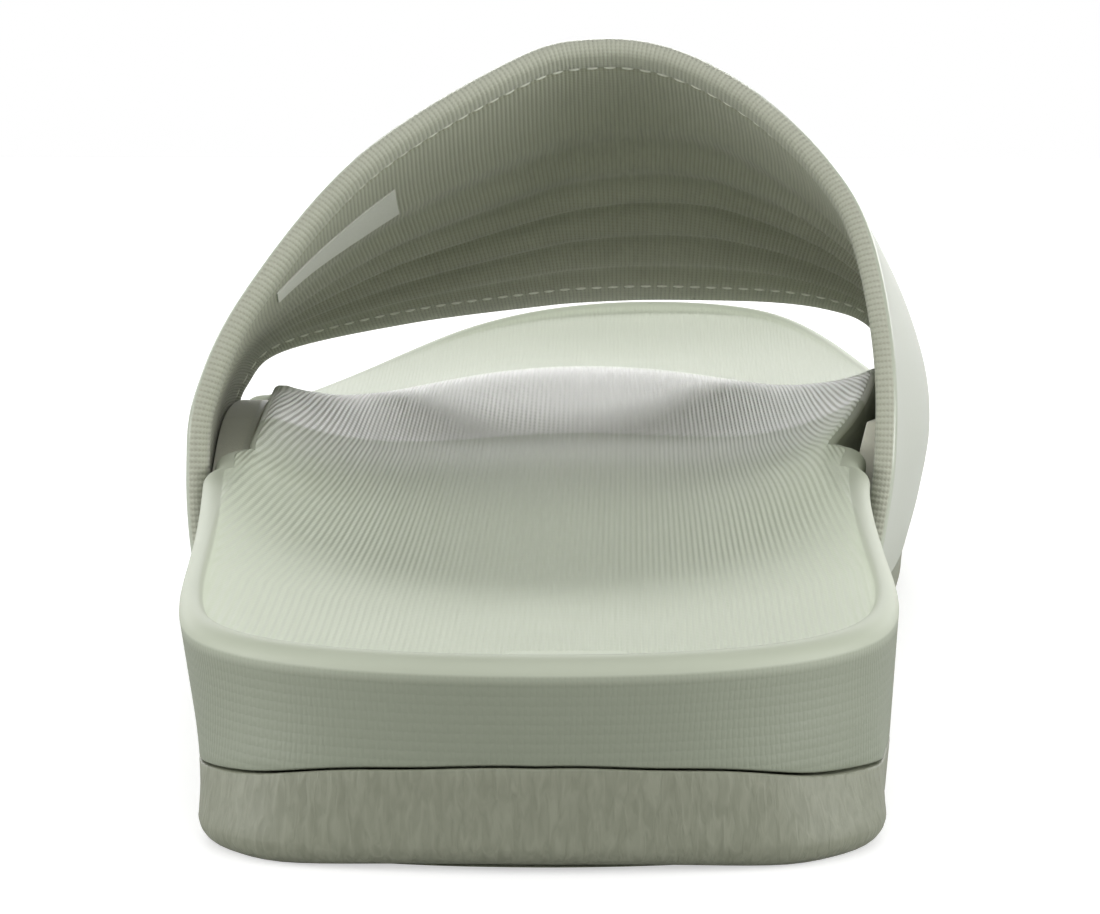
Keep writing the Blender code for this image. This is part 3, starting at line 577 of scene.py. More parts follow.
def pocket_cut(walk, rise=1.0):
    """How far the side is cut back: first for the band's wall, whose foot turns in, then for the slot."""
    shallow = STRAP_WALL - STRAP_PROUD + 2.0 * FIT_GAP + FOOT_CUT * (1.0 - rise)
    deep = slot_inset(walk.y, walk.side)
    cut = np.zeros(len(walk.y))
    for side in (-1, 1):
        start, end = pocket_range(side)
        before_end = (end + POCKET_CORNER) - walk.y
        past_start = walk.y - (start - POCKET_CORNER / 2.0)
        beside_band = rounded_step(np.minimum(past_start, before_end), POCKET_CORNER / 2.0)
        past_slot = walk.y - (SLOT_STARTS[side] * LENGTH - POCKET_CORNER)
        beside_slot = rounded_step(np.minimum(past_slot, before_end), POCKET_CORNER)
        here = shallow * beside_band + (deep - shallow) * beside_slot
        cut = np.where(walk.side == side, here, cut)
    return cut


def pocket_places():
    """Extra places for the walk at the pockets' and the slots' corners."""
    places = []
    for side in (-1, 1):
        start, end = pocket_range(side)
        slot = SLOT_STARTS[side] * LENGTH
        for turn in np.linspace(0.0, math.pi / 2.0, 14):
            into = POCKET_CORNER * math.sin(turn)
            places.append(start - (POCKET_CORNER - into) / 2.0)
            places.append(slot - POCKET_CORNER + into)
            places.append(end + POCKET_CORNER - into)
    return sorted(set(round(place, 7) for place in places))


def past_ridge_foot(x, y):
    """How far a place lies past the foot of the toe ridge, whose line bends back at both sides."""
    bend = RIDGE_BEND * LENGTH * ((x - RIDGE_MIDDLE) / (BALL_WIDTH / 2.0)) ** 2
    return y + bend - RIDGE_FOOT * LENGTH


def bed_height(walk, inset):
    """Height of the footbed: a dish between the rims, with the toe ridge across it."""
    plan = walk.plan(inset)
    past = past_ridge_foot(plan[:, 0], plan[:, 1]) / LENGTH
    positions = named_column(RIDGE, RIDGE_COLUMNS, "past")
    ridge = RIDGE_HEIGHT * smooth_curve(positions, named_column(RIDGE, RIDGE_COLUMNS, "rise"), past)
    rim = np.where(walk.side < 0, sole_profile("rim_lateral", walk.y), sole_profile("rim_medial", walk.y))
    middle = sole_profile("bed", walk.spine[:, 1]) + ridge
    shelf = sole_profile("shelf", walk.y) * slot_inset(walk.y, walk.side) / SLOT_DEPTH / walk.reach
    rise = np.minimum(walk.share(inset) / (1.0 - shelf), 1.0)
    return middle + (rim - middle) * rise ** sole_profile("dish", walk.y)


# The ribs draw together towards the toes. Millimetres: where that starts and ends, how much wider they
# lie apart at the heel's sides, how much closer beside the slots, and how fast they close on the ridge.
RIB_CENTRE = 2.0
RIB_DRAW_FROM = -90.0
RIB_DRAW_TO = 25.0
RIB_HEEL_SPREAD = 0.0000562
RIB_SLOT_DRAW = 0.00014
RIB_DRAW_FADE = (24.0, 42.0)
RIB_RIDGE_DRAW = 0.0030
RIB_RIDGE_REACH = 24.0

# Past the ridge the ribs are shallower: where that starts and ends past the ridge's foot, and by how much.
SHALLOW_RIBS_FROM = 0.022
SHALLOW_RIBS_TO = 0.040
SHALLOW_RIBS_LOSS = 0.6

# Where the ridge is worn glossy and given a painted reflection, past the ridge's foot: its slope starts and
# ends over these ways, and the bed just before it gets a share of both.
GLOSS_AND_PAINTED_REFLECTION_START = (-0.0005, 0.0010)
GLOSS_AND_PAINTED_REFLECTION_END = (0.0210, 0.0290)
GLOSS_AND_PAINTED_REFLECTION_BEFORE = (-0.0350, -0.0050)
GLOSS_AND_PAINTED_REFLECTION_BEFORE_SHARE = 0.35


def rib_across(walk, inset):
    """Where a place lies across the ribs, in metres. Lines of one value are the ribs' lines."""
    plan = walk.plan(inset)
    past = past_ridge_foot(plan[:, 0], plan[:, 1]) * 1000.0
    x = (plan[:, 0] + HEEL_CENTRE[0]) * 1000.0 - RIB_CENTRE
    y = (plan[:, 1] + HEEL_CENTRE[1]) * 1000.0
    on_bed = y - np.maximum(past, 0.0)
    drawn = np.clip((on_bed - RIB_DRAW_FROM) / (RIB_DRAW_TO - RIB_DRAW_FROM), 0.0, 1.0)
    steps = np.linspace(0.0, 60.0, 241)
    slopes = 3.0 * steps**2 * (1.0 - ramp(*RIB_DRAW_FADE, steps))
    cubic = np.concatenate([[0.0], np.cumsum((slopes[1:] + slopes[:-1]) / 2.0 * np.diff(steps))])
    pulled = np.sign(x) * np.interp(np.abs(x), steps, cubic)
    across = x - RIB_HEEL_SPREAD * (1.0 - drawn) * x**3 + RIB_SLOT_DRAW * drawn * pulled
    on_ridge_gloss_and_painted_reflection = np.clip(past, 0.0, RIB_RIDGE_REACH)
    return across * (1.0 + RIB_RIDGE_DRAW * on_ridge_gloss_and_painted_reflection) / 1000.0


def ridge_gloss_and_painted_reflection(walk, inset):
    """How much each place is worn glossy and given a painted reflection: all over the ridge's slope, and a
    little before it.
    """
    plan = walk.plan(inset)
    past = past_ridge_foot(plan[:, 0], plan[:, 1])
    slope = ramp(*GLOSS_AND_PAINTED_REFLECTION_START, past) * (1.0 - ramp(*GLOSS_AND_PAINTED_REFLECTION_END, past))
    before = ramp(*GLOSS_AND_PAINTED_REFLECTION_BEFORE, past) * (1.0 - ramp(*GLOSS_AND_PAINTED_REFLECTION_START, past))
    return slope + GLOSS_AND_PAINTED_REFLECTION_BEFORE_SHARE * before


def rib_strength(walk, inset):
    """How deep the ribs are at each place: full on the bed, shallow on the toe's end."""
    plan = walk.plan(inset)
    past = past_ridge_foot(plan[:, 0], plan[:, 1])
    return 1.0 - SHALLOW_RIBS_LOSS * ramp(SHALLOW_RIBS_FROM, SHALLOW_RIBS_TO, past)


def heel_panel_mask(tree, apart):
    """0 on the bare, smooth panel at the heel and 1 off it, with a soft border."""
    panel_x = add_node(tree, "ShaderNodeMath", {"operation": "SUBTRACT"}, {
        0: (apart, "X"), 1: PANEL_MIDDLE[0]})
    panel_x_off = add_node(tree, "ShaderNodeMath", {"operation": "ABSOLUTE"}, {0: (panel_x, "Value")})
    panel_y = add_node(tree, "ShaderNodeMath", {"operation": "SUBTRACT"}, {
        0: (apart, "Y"), 1: PANEL_MIDDLE[1]})
    panel_y_off = add_node(tree, "ShaderNodeMath", {"operation": "ABSOLUTE"}, {0: (panel_y, "Value")})
    beyond_x = add_node(tree, "ShaderNodeMath", {"operation": "SUBTRACT"}, {
        0: (panel_x_off, "Value"), 1: PANEL_SIZE[0] / 2.0 - PANEL_CORNER})
    beyond_y = add_node(tree, "ShaderNodeMath", {"operation": "SUBTRACT"}, {
        0: (panel_y_off, "Value"), 1: PANEL_SIZE[1] / 2.0 - PANEL_CORNER})
    corner_x = add_node(tree, "ShaderNodeMath", {"operation": "MAXIMUM"}, {0: (beyond_x, "Value"), 1: 0.0})
    corner_y = add_node(tree, "ShaderNodeMath", {"operation": "MAXIMUM"}, {0: (beyond_y, "Value"), 1: 0.0})
    corner = add_node(tree, "ShaderNodeCombineXYZ", {}, {0: (corner_x, "Value"), 1: (corner_y, "Value")})
    from_panel = add_node(tree, "ShaderNodeVectorMath", {"operation": "LENGTH"}, {0: (corner, "Vector")})
    return add_node(tree, "ShaderNodeMapRange", {"interpolation_type": "SMOOTHSTEP"}, {
        "Value": (from_panel, "Value"), "From Min": PANEL_CORNER - PANEL_BORDER[0],
        "From Max": PANEL_CORNER + PANEL_BORDER[1]})


def rib_relief(tree, apart, across_ribs, on_bed):
    """Height of the bed's ribs, with the panel sunk among them."""
    # Ribs 0.77 mm apart, crossed by weaker steps that break them into grains.
    rib_turn = add_node(tree, "ShaderNodeMath", {"operation": "MULTIPLY"}, {
        0: (across_ribs, "Fac"), 1: 2.0 * math.pi / RIB_PITCH})
    rib = add_node(tree, "ShaderNodeMath", {"operation": "COSINE"}, {0: (rib_turn, "Value")})
    step_turn = add_node(tree, "ShaderNodeMath", {"operation": "MULTIPLY"}, {
        0: (apart, "Y"), 1: 2.0 * math.pi / RIB_STEP})
    step = add_node(tree, "ShaderNodeMath", {"operation": "COSINE"}, {0: (step_turn, "Value")})
    rib_grains = add_node(tree, "ShaderNodeMath", {"operation": "MULTIPLY_ADD"}, {
        0: (step, "Value"), 1: 0.30, 2: (rib, "Value")})
    off_panel = heel_panel_mask(tree, apart)
    ribs_here = add_node(tree, "ShaderNodeMath", {"operation": "MULTIPLY"}, {
        0: (rib_grains, "Value"), 1: (off_panel, "Result")})
    panel_sunk = add_node(tree, "ShaderNodeMath", {"operation": "MULTIPLY_ADD"}, {
        0: (off_panel, "Result"), 1: 1.2, 2: (ribs_here, "Value")})
    return add_node(tree, "ShaderNodeMath", {"operation": "MULTIPLY"}, {
        0: (panel_sunk, "Value"), 1: (on_bed, "Fac")})


def weave_relief(tree, apart, girth, on_side):
    """Height of the side's plain weave: level and upright threads that pass over each other in turn."""
    upright_turn = add_node(tree, "ShaderNodeMath", {"operation": "MULTIPLY"}, {
        0: (girth, "Fac"), 1: math.pi / WEAVE_UPRIGHT_PITCH})
    upright = add_node(tree, "ShaderNodeMath", {"operation": "SINE"}, {0: (upright_turn, "Value")})
    level_turn = add_node(tree, "ShaderNodeMath", {"operation": "MULTIPLY"}, {
        0: (apart, "Z"), 1: math.pi / WEAVE_LEVEL_PITCH})
    level = add_node(tree, "ShaderNodeMath", {"operation": "SINE"}, {0: (level_turn, "Value")})
    upright_round = add_node(tree, "ShaderNodeMath", {"operation": "ABSOLUTE"}, {0: (upright, "Value")})
    level_round = add_node(tree, "ShaderNodeMath", {"operation": "ABSOLUTE"}, {0: (level, "Value")})
    both = add_node(tree, "ShaderNodeMath", {"operation": "MULTIPLY"}, {
        0: (upright, "Value"), 1: (level, "Value")})
    over = add_node(tree, "ShaderNodeMath", {"operation": "MULTIPLY_ADD"}, {
        0: (both, "Value"), 1: 0.5, 2: 0.5})
    weave = add_node(tree, "ShaderNodeMix", {"data_type": "FLOAT"}, {
        0: (over, "Value"), 2: (level_round, "Value"), 3: (upright_round, "Value")})
    return add_node(tree, "ShaderNodeMath", {"operation": "MULTIPLY"}, {
        0: (weave, 0), 1: (on_side, "Fac")})


def ribbed_foam():
    """EVA foam pressed in an etched mould: ribbed on the bed, smooth on the rim, woven on the side."""
    finish, tree, shader = new_finish("EVA foam, pressed in an etched mould")
    place = add_node(tree, "ShaderNodeTexCoord", {}, {})
    apart = add_node(tree, "ShaderNodeSeparateXYZ", {}, {0: (place, "Object")})
    on_bed = add_node(tree, "ShaderNodeAttribute", {"attribute_name": "bed"}, {})
    on_side = add_node(tree, "ShaderNodeAttribute", {"attribute_name": "side_wall"}, {})
    girth = add_node(tree, "ShaderNodeAttribute", {"attribute_name": "girth"}, {})
    across_ribs = add_node(tree, "ShaderNodeAttribute", {"attribute_name": "across_ribs"}, {})
    # The ridge attribute masks the ridge's worn gloss and its painted reflection.
    on_ridge_gloss_and_painted_reflection = add_node(tree, "ShaderNodeAttribute", {"attribute_name": "ridge"}, {})
    ribs = rib_relief(tree, apart, across_ribs, on_bed)
    weave = weave_relief(tree, apart, girth, on_side)
    bed_bump = add_node(tree, "ShaderNodeBump", {}, {
        "Height": (ribs, "Value"), "Strength": 1.0, "Distance": 0.00006})
    side_bump = add_node(tree, "ShaderNodeBump", {}, {
        "Height": (weave, "Value"), "Strength": 0.55, "Distance": 0.00012,
        "Normal": (bed_bump, "Normal")})

    # Slight clouding, as pigment gives in foam. The ribbed bed is paler than the smooth foam round it. The
    # woven side is painted darker as painted shade, and the valleys of the ribs and the weave are painted
    # darker still as painted shade.
    clouds = add_node(tree, "ShaderNodeTexNoise", {}, {
        "Vector": (place, "Object"), "Scale": 38.0, "Detail": 3.0})
    smooth_foam = add_node(tree, "ShaderNodeMix", {"data_type": "RGBA"}, {
        0: (clouds, "Fac"), 6: hex_colour("#a9af9d"), 7: hex_colour("#b1b7a5")})
    bed_foam = add_node(tree, "ShaderNodeMix", {"data_type": "RGBA"}, {
        0: (clouds, "Fac"), 6: hex_colour("#c0c7b4"), 7: hex_colour("#c8cfbc")})
    cloudy = add_node(tree, "ShaderNodeMix", {"data_type": "RGBA"}, {
        0: (on_bed, "Fac"), 6: (smooth_foam, 2), 7: (bed_foam, 2)})
    # Painted shade: the woven side is given darker colours than the foam above it.
    side_painted_shade = add_node(tree, "ShaderNodeMix", {"data_type": "RGBA"}, {
        0: (clouds, "Fac"), 6: hex_colour("#7e8473"), 7: hex_colour("#868c7b")})
    # Painted reflection: the ridge is painted paler and greyer, standing in for the bright backdrop's
    # reflection.
    ridge_painted_reflection = add_node(tree, "ShaderNodeMix", {"data_type": "RGBA"}, {
        0: (on_ridge_gloss_and_painted_reflection, "Fac"), 6: (cloudy, 2), 7: hex_colour("#f2f2f0")})
    foam = add_node(tree, "ShaderNodeMix", {"data_type": "RGBA"}, {
        0: (on_side, "Fac"), 6: (ridge_painted_reflection, 2), 7: (side_painted_shade, 2)})
    # Painted shade in the valleys of the ribs and of the weave.
    rib_shade = add_node(tree, "ShaderNodeMapRange", {}, {
        "Value": (ribs, "Value"), "From Min": -0.3, "From Max": -1.3, "To Min": 0.0, "To Max": 0.30})
    # The same mask makes the ridge smoother, worn glossy by the toes.
    rubbed_smooth = add_node(tree, "ShaderNodeMapRange", {}, {
        "Value": (on_ridge_gloss_and_painted_reflection, "Fac"), "To Min": 0.55, "To Max": 0.42})
    weave_shade = add_node(tree, "ShaderNodeMapRange", {}, {
        "Value": (weave, "Value"), "From Min": 0.35, "From Max": 0.0, "To Min": 0.0, "To Max": 0.30})
    weave_shade_here = add_node(tree, "ShaderNodeMath", {"operation": "MULTIPLY"}, {
        0: (weave_shade, "Result"), 1: (on_side, "Fac")})
    shade = add_node(tree, "ShaderNodeMath", {"operation": "MAXIMUM"}, {
        0: (rib_shade, "Result"), 1: (weave_shade_here, "Value")})
    colour = add_node(tree, "ShaderNodeMix", {"data_type": "RGBA"}, {
        0: (shade, "Value"), 6: (foam, 2), 7: hex_colour("#7c8273")})
    tree.links.new(colour.outputs[2], shader.inputs["Base Color"])
    tree.links.new(side_bump.outputs["Normal"], shader.inputs["Normal"])
    tree.links.new(rubbed_smooth.outputs["Result"], shader.inputs["Roughness"])
    shader.inputs["IOR"].default_value = 1.45
    return finish


def make_footbed():
    walk = SoleWalk(sole_places(230, 34, pocket_places()))
    cut = pocket_cut(walk)
    radius = RIM_RADIUS + (POCKET_RIM_RADIUS - RIM_RADIUS) * ramp(0.0030, 0.0055, cut)
    rings = []
    says = {"bed": [], "side_wall": [], "girth": [], "across_ribs": [], "ridge": []}

    def lay(inset, height, bed, wall):
        rings.append(walk.ring(inset, height))
        says["bed"].append(bed * rib_strength(walk, inset))
        says["side_wall"].append(wall)
        says["girth"].append(walk.girth)
        says["across_ribs"].append(rib_across(walk, inset))
        # The ridge value carries the ridge's worn gloss and its painted reflection.
        says["ridge"].append(ridge_gloss_and_painted_reflection(walk, inset))

    for share in (0.0, 0.3, 0.6, 0.8, 0.9):
        inset = np.maximum(pocket_cut(walk, 0.0) + 2.0 * radius * share, walk.inset_of_share(share))
        lay(inset, walk.parting(inset) + JOINT_GAP, 0.0, 0.0)
    foot = np.maximum(pocket_cut(walk, 0.0), walk.lean(JOINT_LEAN))
    low = walk.parting(foot) + JOINT_GAP
    for turn in (0.0, 30.0, 60.0, 90.0):
        angle = math.radians(turn)
        inset = foot + JOINT_EDGE_RADIUS * (1.0 - math.sin(angle))
        lay(inset, low + JOINT_EDGE_RADIUS * (1.0 - math.cos(angle)), 0.0, 1.0 if turn else 0.0)
    low = low + JOINT_EDGE_RADIUS
    rim_top = bed_height(walk, cut)
    high = rim_top - radius
    for rise in np.linspace(0.0, 1.0, 13)[1:]:
        inset = np.maximum(pocket_cut(walk, rise), walk.lean((1.0 - rise) * JOINT_LEAN))
        lay(inset, low + (high - low) * rise, 0.0, 1.0 if rise < 0.95 else 0.6)
    for turn in range(10, 91, 10):
        angle = math.radians(turn)
        inset = cut + radius * (1.0 - math.cos(angle))
        lay(inset, rim_top - radius * (1.0 - math.sin(angle)), 0.0, 0.0)
    fall = RIM_FALL * radius / RIM_RADIUS
    for step in (0.2, 0.4, 0.6, 0.8, 1.0):
        inset = cut + radius + fall * step
        height = rim_top + (bed_height(walk, inset) - rim_top) * ramp(0.0, 1.0, step)
        lay(inset, height, 1.0 if step > 0.5 else 0.0, 0.0)
    start = walk.share(cut + radius + fall)
    for k in range(1, BED_RINGS + 1):
        inset = walk.inset_of_share(start * (1.0 - k / BED_RINGS))
        lay(inset, bed_height(walk, inset), 1.0, 0.0)
    return add_piece("footbed_body", mesh_from_rings("footbed_body", rings, says), [ribbed_foam()])


footbed = make_footbed()
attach(footbed, "root")
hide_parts("footbed_midsole")


# Band over the foot.
# Coated synthetic outside, thin foam, and a knitted lining that is folded over both edges and sewn down.
# Both feet go down into the sole's pockets. Wear and packing leave soft creases in the lining.
INSTEP_HEIGHT = 0.0864
TOE_EDGE_HEIGHT = 0.0418
STRAP_CROWN = 0.0014
ARCH_HOLD = 1.9
STITCH_FROM_EDGE = 0.0040
LINING_FROM_EDGE = 0.0039
STITCH_GROOVE = 0.00032
STITCH_GROOVE_HALF_WIDTH = 0.00075
EDGE_PLUMP = 0.00025
EDGE_PLUMP_FULL = (0.0015, 0.0022)
WALE_PITCH = 0.00068
COURSE_PITCH = 0.00055
STRAP_COLUMNS = ("back_along", "back_across", "back_height", "front_along", "front_across", "front_height")
STRAP_FOLDS = (
    (0.399, -0.955, 0.000, 0.655, -0.950, 0.000),
    (0.400, -0.995, 0.110, 0.656, -0.985, 0.220),
    (0.402, -1.005, 0.260, 0.658, -1.005, 0.460),
    (0.409, -0.980, 0.390, 0.664, -0.975, 0.650),
    (0.432, -0.850, 0.560, 0.682, -0.860, 0.825),
    (0.469, -0.540, 0.795, 0.715, -0.490, 0.925),
    (0.499, -0.115, 0.965, 0.742, -0.090, 0.975),
    (0.510, 0.110, 1.000, 0.751, 0.110, 0.992),
    (0.511, 0.330, 0.982, 0.752, 0.310, 1.000),
    (0.503, 0.560, 0.906, 0.747, 0.540, 1.000),
    (0.485, 0.775, 0.785, 0.731, 0.750, 0.980),
    (0.462, 0.912, 0.660, 0.711, 0.885, 0.905),
    (0.428, 1.005, 0.465, 0.694, 0.970, 0.690),
    (0.405, 1.025, 0.280, 0.684, 1.000, 0.470),
    (0.400, 0.990, 0.110, 0.680, 0.985, 0.220),
    (0.399, 0.955, 0.000, 0.678, 0.950, 0.000),
)
LAST_FOLD = len(STRAP_FOLDS) - 1.0

# Creases of the lining: where each lies between the back edge (0) and the toe edge (1) at the lateral
# side, over the instep and at the medial side, its depth, and its half width as a share of the band.
# They fade out over two stretches of folds above the feet. Beside each lies a soft roll: its height as a
# share of the crease's depth, and its place in half widths.
CREASE_COLUMNS = ("lateral", "top", "medial", "depth", "half_width")
CREASES = (
    (0.52, 0.34, 0.46, 0.0007, 0.050),
    (0.66, 0.50, 0.58, 0.0010, 0.040),
    (0.76, 0.62, 0.70, 0.0016, 0.034),
    (0.85, 0.76, 0.82, 0.0014, 0.032),
    (0.93, 0.89, 0.92, 0.0012, 0.030),
)
CREASE_FOLDS = (3.0, 8.5, 13.0)
CREASE_START = (3.3, 5.2)
CREASE_END = (10.8, 12.6)
CREASE_ROLL_HEIGHT = 0.55
CREASE_ROLL_PLACE = 1.9


def band_outer(fold, way):
    """Points of the band's outer face, at a fold and a way from the back edge (0) to the front (1)."""
    fold, way = np.broadcast_arrays(np.asarray(fold, float), np.asarray(way, float))
    rows = np.arange(len(STRAP_FOLDS), dtype=float)

    def read(name, blend):
        back = smooth_curve(rows, named_column(STRAP_FOLDS, STRAP_COLUMNS, "back_" + name), fold)
        front = smooth_curve(rows, named_column(STRAP_FOLDS, STRAP_COLUMNS, "front_" + name), fold)
        return back + (front - back) * blend

    held = np.sign(way) * np.abs(way) ** ARCH_HOLD
    y = read("along", way) * LENGTH
    across = read("across", held)
    share = read("height", held)
    side = np.where(across < 0.0, -1, 1)
    half = np.abs(outline_across(y, side)) + STRAP_PROUD
    seat = band_seat(y, side)
    top = INSTEP_HEIGHT + (TOE_EDGE_HEIGHT - INSTEP_HEIGHT) * way
    crown = STRAP_CROWN * 4.0 * way * (1.0 - way) * ramp(0.3, 0.9, share)
    height = seat + (top - seat) * share + crown
    return np.stack([across * half + HEEL_CENTRE[0], y + HEEL_CENTRE[1], height], axis=-1)


def band_seat(y, side):
    """Height of the pocket's floor under the band's foot."""
    spine_y = np.clip(y, HEEL_SPINE * LENGTH, TOE_SPINE * LENGTH)
    middle = (outline_across(spine_y, -1) + outline_across(spine_y, 1)) / 2.0
    reach = np.hypot(outline_across(y, side) - middle, y - spine_y)
    share = 1.0 - np.minimum(FOOT_TUCK / reach, 1.0)
    low = sole_profile("parting", spine_y)
    return low + (sole_profile("parting", y) - low) * share**2 + FIT_GAP


def band_frame(fold, way):
    """Outer points, outward normals and directions from the back to the front."""
    fold, way = np.broadcast_arrays(np.asarray(fold, float), np.asarray(way, float))
    step = 0.02
    over = band_outer(np.minimum(fold + step, LAST_FOLD), way) - band_outer(np.maximum(fold - step, 0.0), way)
    forward = band_outer(fold, np.minimum(way + step, 1.0)) - band_outer(fold, np.maximum(way - step, 0.0))
    normal = -np.cross(forward, over)
    normal /= np.linalg.norm(normal, axis=-1, keepdims=True)
    forward /= np.linalg.norm(forward, axis=-1, keepdims=True)
    return band_outer(fold, way), normal, forward


def band_span(fold):
    """Length of the band from its back edge to its front edge at each fold."""
    ways = np.linspace(0.0, 1.0, 41)
    points = band_outer(np.asarray(fold)[:, None], ways[None, :])
    return np.linalg.norm(np.diff(points, axis=1), axis=2).sum(axis=1)


def lining_relief(fold, way, span):
    """How far the lining stands in from the even wall: plump edges, sewn grooves and creases."""
    from_edge = np.minimum(way, 1.0 - way) * span
    groove = np.exp(-(((from_edge - STITCH_FROM_EDGE) / STITCH_GROOVE_HALF_WIDTH) ** 2))
    full, fall = EDGE_PLUMP_FULL
    plump = ramp(0.0, full, from_edge) * (1.0 - ramp(fall, STITCH_FROM_EDGE, from_edge))
    relief = EDGE_PLUMP * plump - STITCH_GROOVE * groove
    above_feet = ramp(*CREASE_START, fold) * (1.0 - ramp(*CREASE_END, fold))
    for row in CREASES:
        crease = dict(zip(CREASE_COLUMNS, row))
        middle = np.interp(fold, CREASE_FOLDS, (crease["lateral"], crease["top"], crease["medial"]))
        off = (way - middle) / crease["half_width"]
        roll = CREASE_ROLL_HEIGHT * np.exp(-((off + CREASE_ROLL_PLACE) ** 2))
        relief = relief - above_feet * crease["depth"] * (np.exp(-(off**2)) - roll)
    return relief


def coated_synthetic():
    """Polyurethane-coated synthetic: a fine pressed grain under a soft gloss."""
    finish, tree, shader = new_finish("polyurethane-coated synthetic, fine grain")
    place = add_node(tree, "ShaderNodeTexCoord", {}, {})
    # Grain cells about 0.6 mm across.
    grain = add_node(tree, "ShaderNodeTexVoronoi", {"feature": "SMOOTH_F1"}, {
        "Vector": (place, "Object"), "Scale": 1600.0, "Smoothness": 0.6})
    bump = add_node(tree, "ShaderNodeBump", {}, {
        "Height": (grain, "Distance"), "Strength": 0.22, "Distance": 0.00010})
    clouds = add_node(tree, "ShaderNodeTexNoise", {}, {
        "Vector": (place, "Object"), "Scale": 55.0, "Detail": 3.0})
    colour = add_node(tree, "ShaderNodeMix", {"data_type": "RGBA"}, {
        0: (clouds, "Fac"), 6: hex_colour("#a3a999"), 7: hex_colour("#aeb4a3")})
    gloss = add_node(tree, "ShaderNodeMapRange", {}, {
        "Value": (clouds, "Fac"), "To Min": 0.27, "To Max": 0.36})
    tree.links.new(colour.outputs[2], shader.inputs["Base Color"])
    tree.links.new(gloss.outputs["Result"], shader.inputs["Roughness"])
    tree.links.new(bump.outputs["Normal"], shader.inputs["Normal"])
    shader.inputs["Coat Weight"].default_value = 0.25
    shader.inputs["Coat Roughness"].default_value = 0.18
    shader.inputs["IOR"].default_value = 1.5
    return finish


def polyester_knit(name, dark, pale, valley_shade):
    """Polyester knit: upright wales 0.68 mm apart, crossed by finer courses, with a soft nap."""
    finish, tree, shader = new_finish(name)
    cloth = add_node(tree, "ShaderNodeUVMap", {"uv_map": "cloth"}, {})
    apart = add_node(tree, "ShaderNodeSeparateXYZ", {}, {0: (cloth, "UV")})
    wale_turn = add_node(tree, "ShaderNodeMath", {"operation": "MULTIPLY"}, {
        0: (apart, "X"), 1: 2.0 * math.pi / WALE_PITCH})
    wale = add_node(tree, "ShaderNodeMath", {"operation": "COSINE"}, {0: (wale_turn, "Value")})
    lean = add_node(tree, "ShaderNodeMath", {"operation": "ABSOLUTE"}, {0: (wale, "Value")})
    course_turn = add_node(tree, "ShaderNodeMath", {"operation": "MULTIPLY"}, {
        0: (apart, "Y"), 1: 2.0 * math.pi / COURSE_PITCH})
    course_slant = add_node(tree, "ShaderNodeMath", {"operation": "MULTIPLY_ADD"}, {
        0: (lean, "Value"), 1: 1.6, 2: (course_turn, "Value")})
    course = add_node(tree, "ShaderNodeMath", {"operation": "COSINE"}, {0: (course_slant, "Value")})
    loops = add_node(tree, "ShaderNodeMath", {"operation": "MULTIPLY_ADD"}, {
        0: (course, "Value"), 1: 0.35, 2: (wale, "Value")})
    bump = add_node(tree, "ShaderNodeBump", {}, {
        "Height": (loops, "Value"), "Strength": 0.8, "Distance": 0.00007})
    place = add_node(tree, "ShaderNodeTexCoord", {}, {})
    nap = add_node(tree, "ShaderNodeTexNoise", {}, {
        "Vector": (place, "Object"), "Scale": 70.0, "Detail": 4.0})
    worn = add_node(tree, "ShaderNodeMix", {"data_type": "RGBA"}, {
        0: (nap, "Fac"), 6: hex_colour(dark), 7: hex_colour(pale)})
    # Painted shade: the colour darkens in the knit's valleys.
    valley_painted_shade = add_node(tree, "ShaderNodeMapRange", {}, {
        "Value": (loops, "Value"), "From Min": 0.1, "From Max": -1.2, "To Min": 0.0, "To Max": 0.40})
    colour = add_node(tree, "ShaderNodeMix", {"data_type": "RGBA"}, {
        0: (valley_painted_shade, "Result"), 6: (worn, 2), 7: hex_colour(valley_shade)})
    tree.links.new(colour.outputs[2], shader.inputs["Base Color"])
    tree.links.new(bump.outputs["Normal"], shader.inputs["Normal"])
    shader.inputs["Roughness"].default_value = 0.85
    shader.inputs["Sheen Weight"].default_value = 0.25
    shader.inputs["Sheen Roughness"].default_value = 0.4
    return finish


def band_ways():
    """Ways from the back edge to the front edge, closer together near both."""
    near = np.array([0.0, 0.006, 0.013, 0.020, 0.028, 0.035, 0.041, 0.047, 0.053, 0.060, 0.070, 0.085])
    middle = np.linspace(0.10, 0.90, 49)
    return np.concatenate([near, middle, 1.0 - near[::-1]])


def wall_loops(folds, ways, shallow, deep, relief=None):
    """Closed loops round a wall at each fold, with rounded free edges, and what each point is."""
    points, normals, forwards = band_frame(folds[:, None], ways[None, :])
    inner = np.full(points.shape[:2], deep)
    if relief is not None:
        inner = inner + relief
    outer_face = points - normals * shallow
    inner_face = points - normals * inner[..., None]

    def edge(k, sense, turns):
        radius = (inner[:, k] - shallow) / 2.0
        middle = points[:, k] - normals[:, k] * (shallow + radius)[:, None]
        rows = []
        for turn in turns:
            angle = math.radians(turn)
            out = forwards[:, k] * sense * math.cos(angle) + normals[:, k] * math.sin(angle)
            rows.append(middle + out * radius[:, None])
        return np.stack(rows, axis=1)

    turns = (67.5, 45.0, 22.5, 0.0, -22.5, -45.0, -67.5)
    front = edge(len(ways) - 1, 1.0, turns)
    back = edge(0, -1.0, tuple(-turn for turn in turns))
    return np.concatenate([outer_face, front, inner_face[:, ::-1], back], axis=1), len(turns)


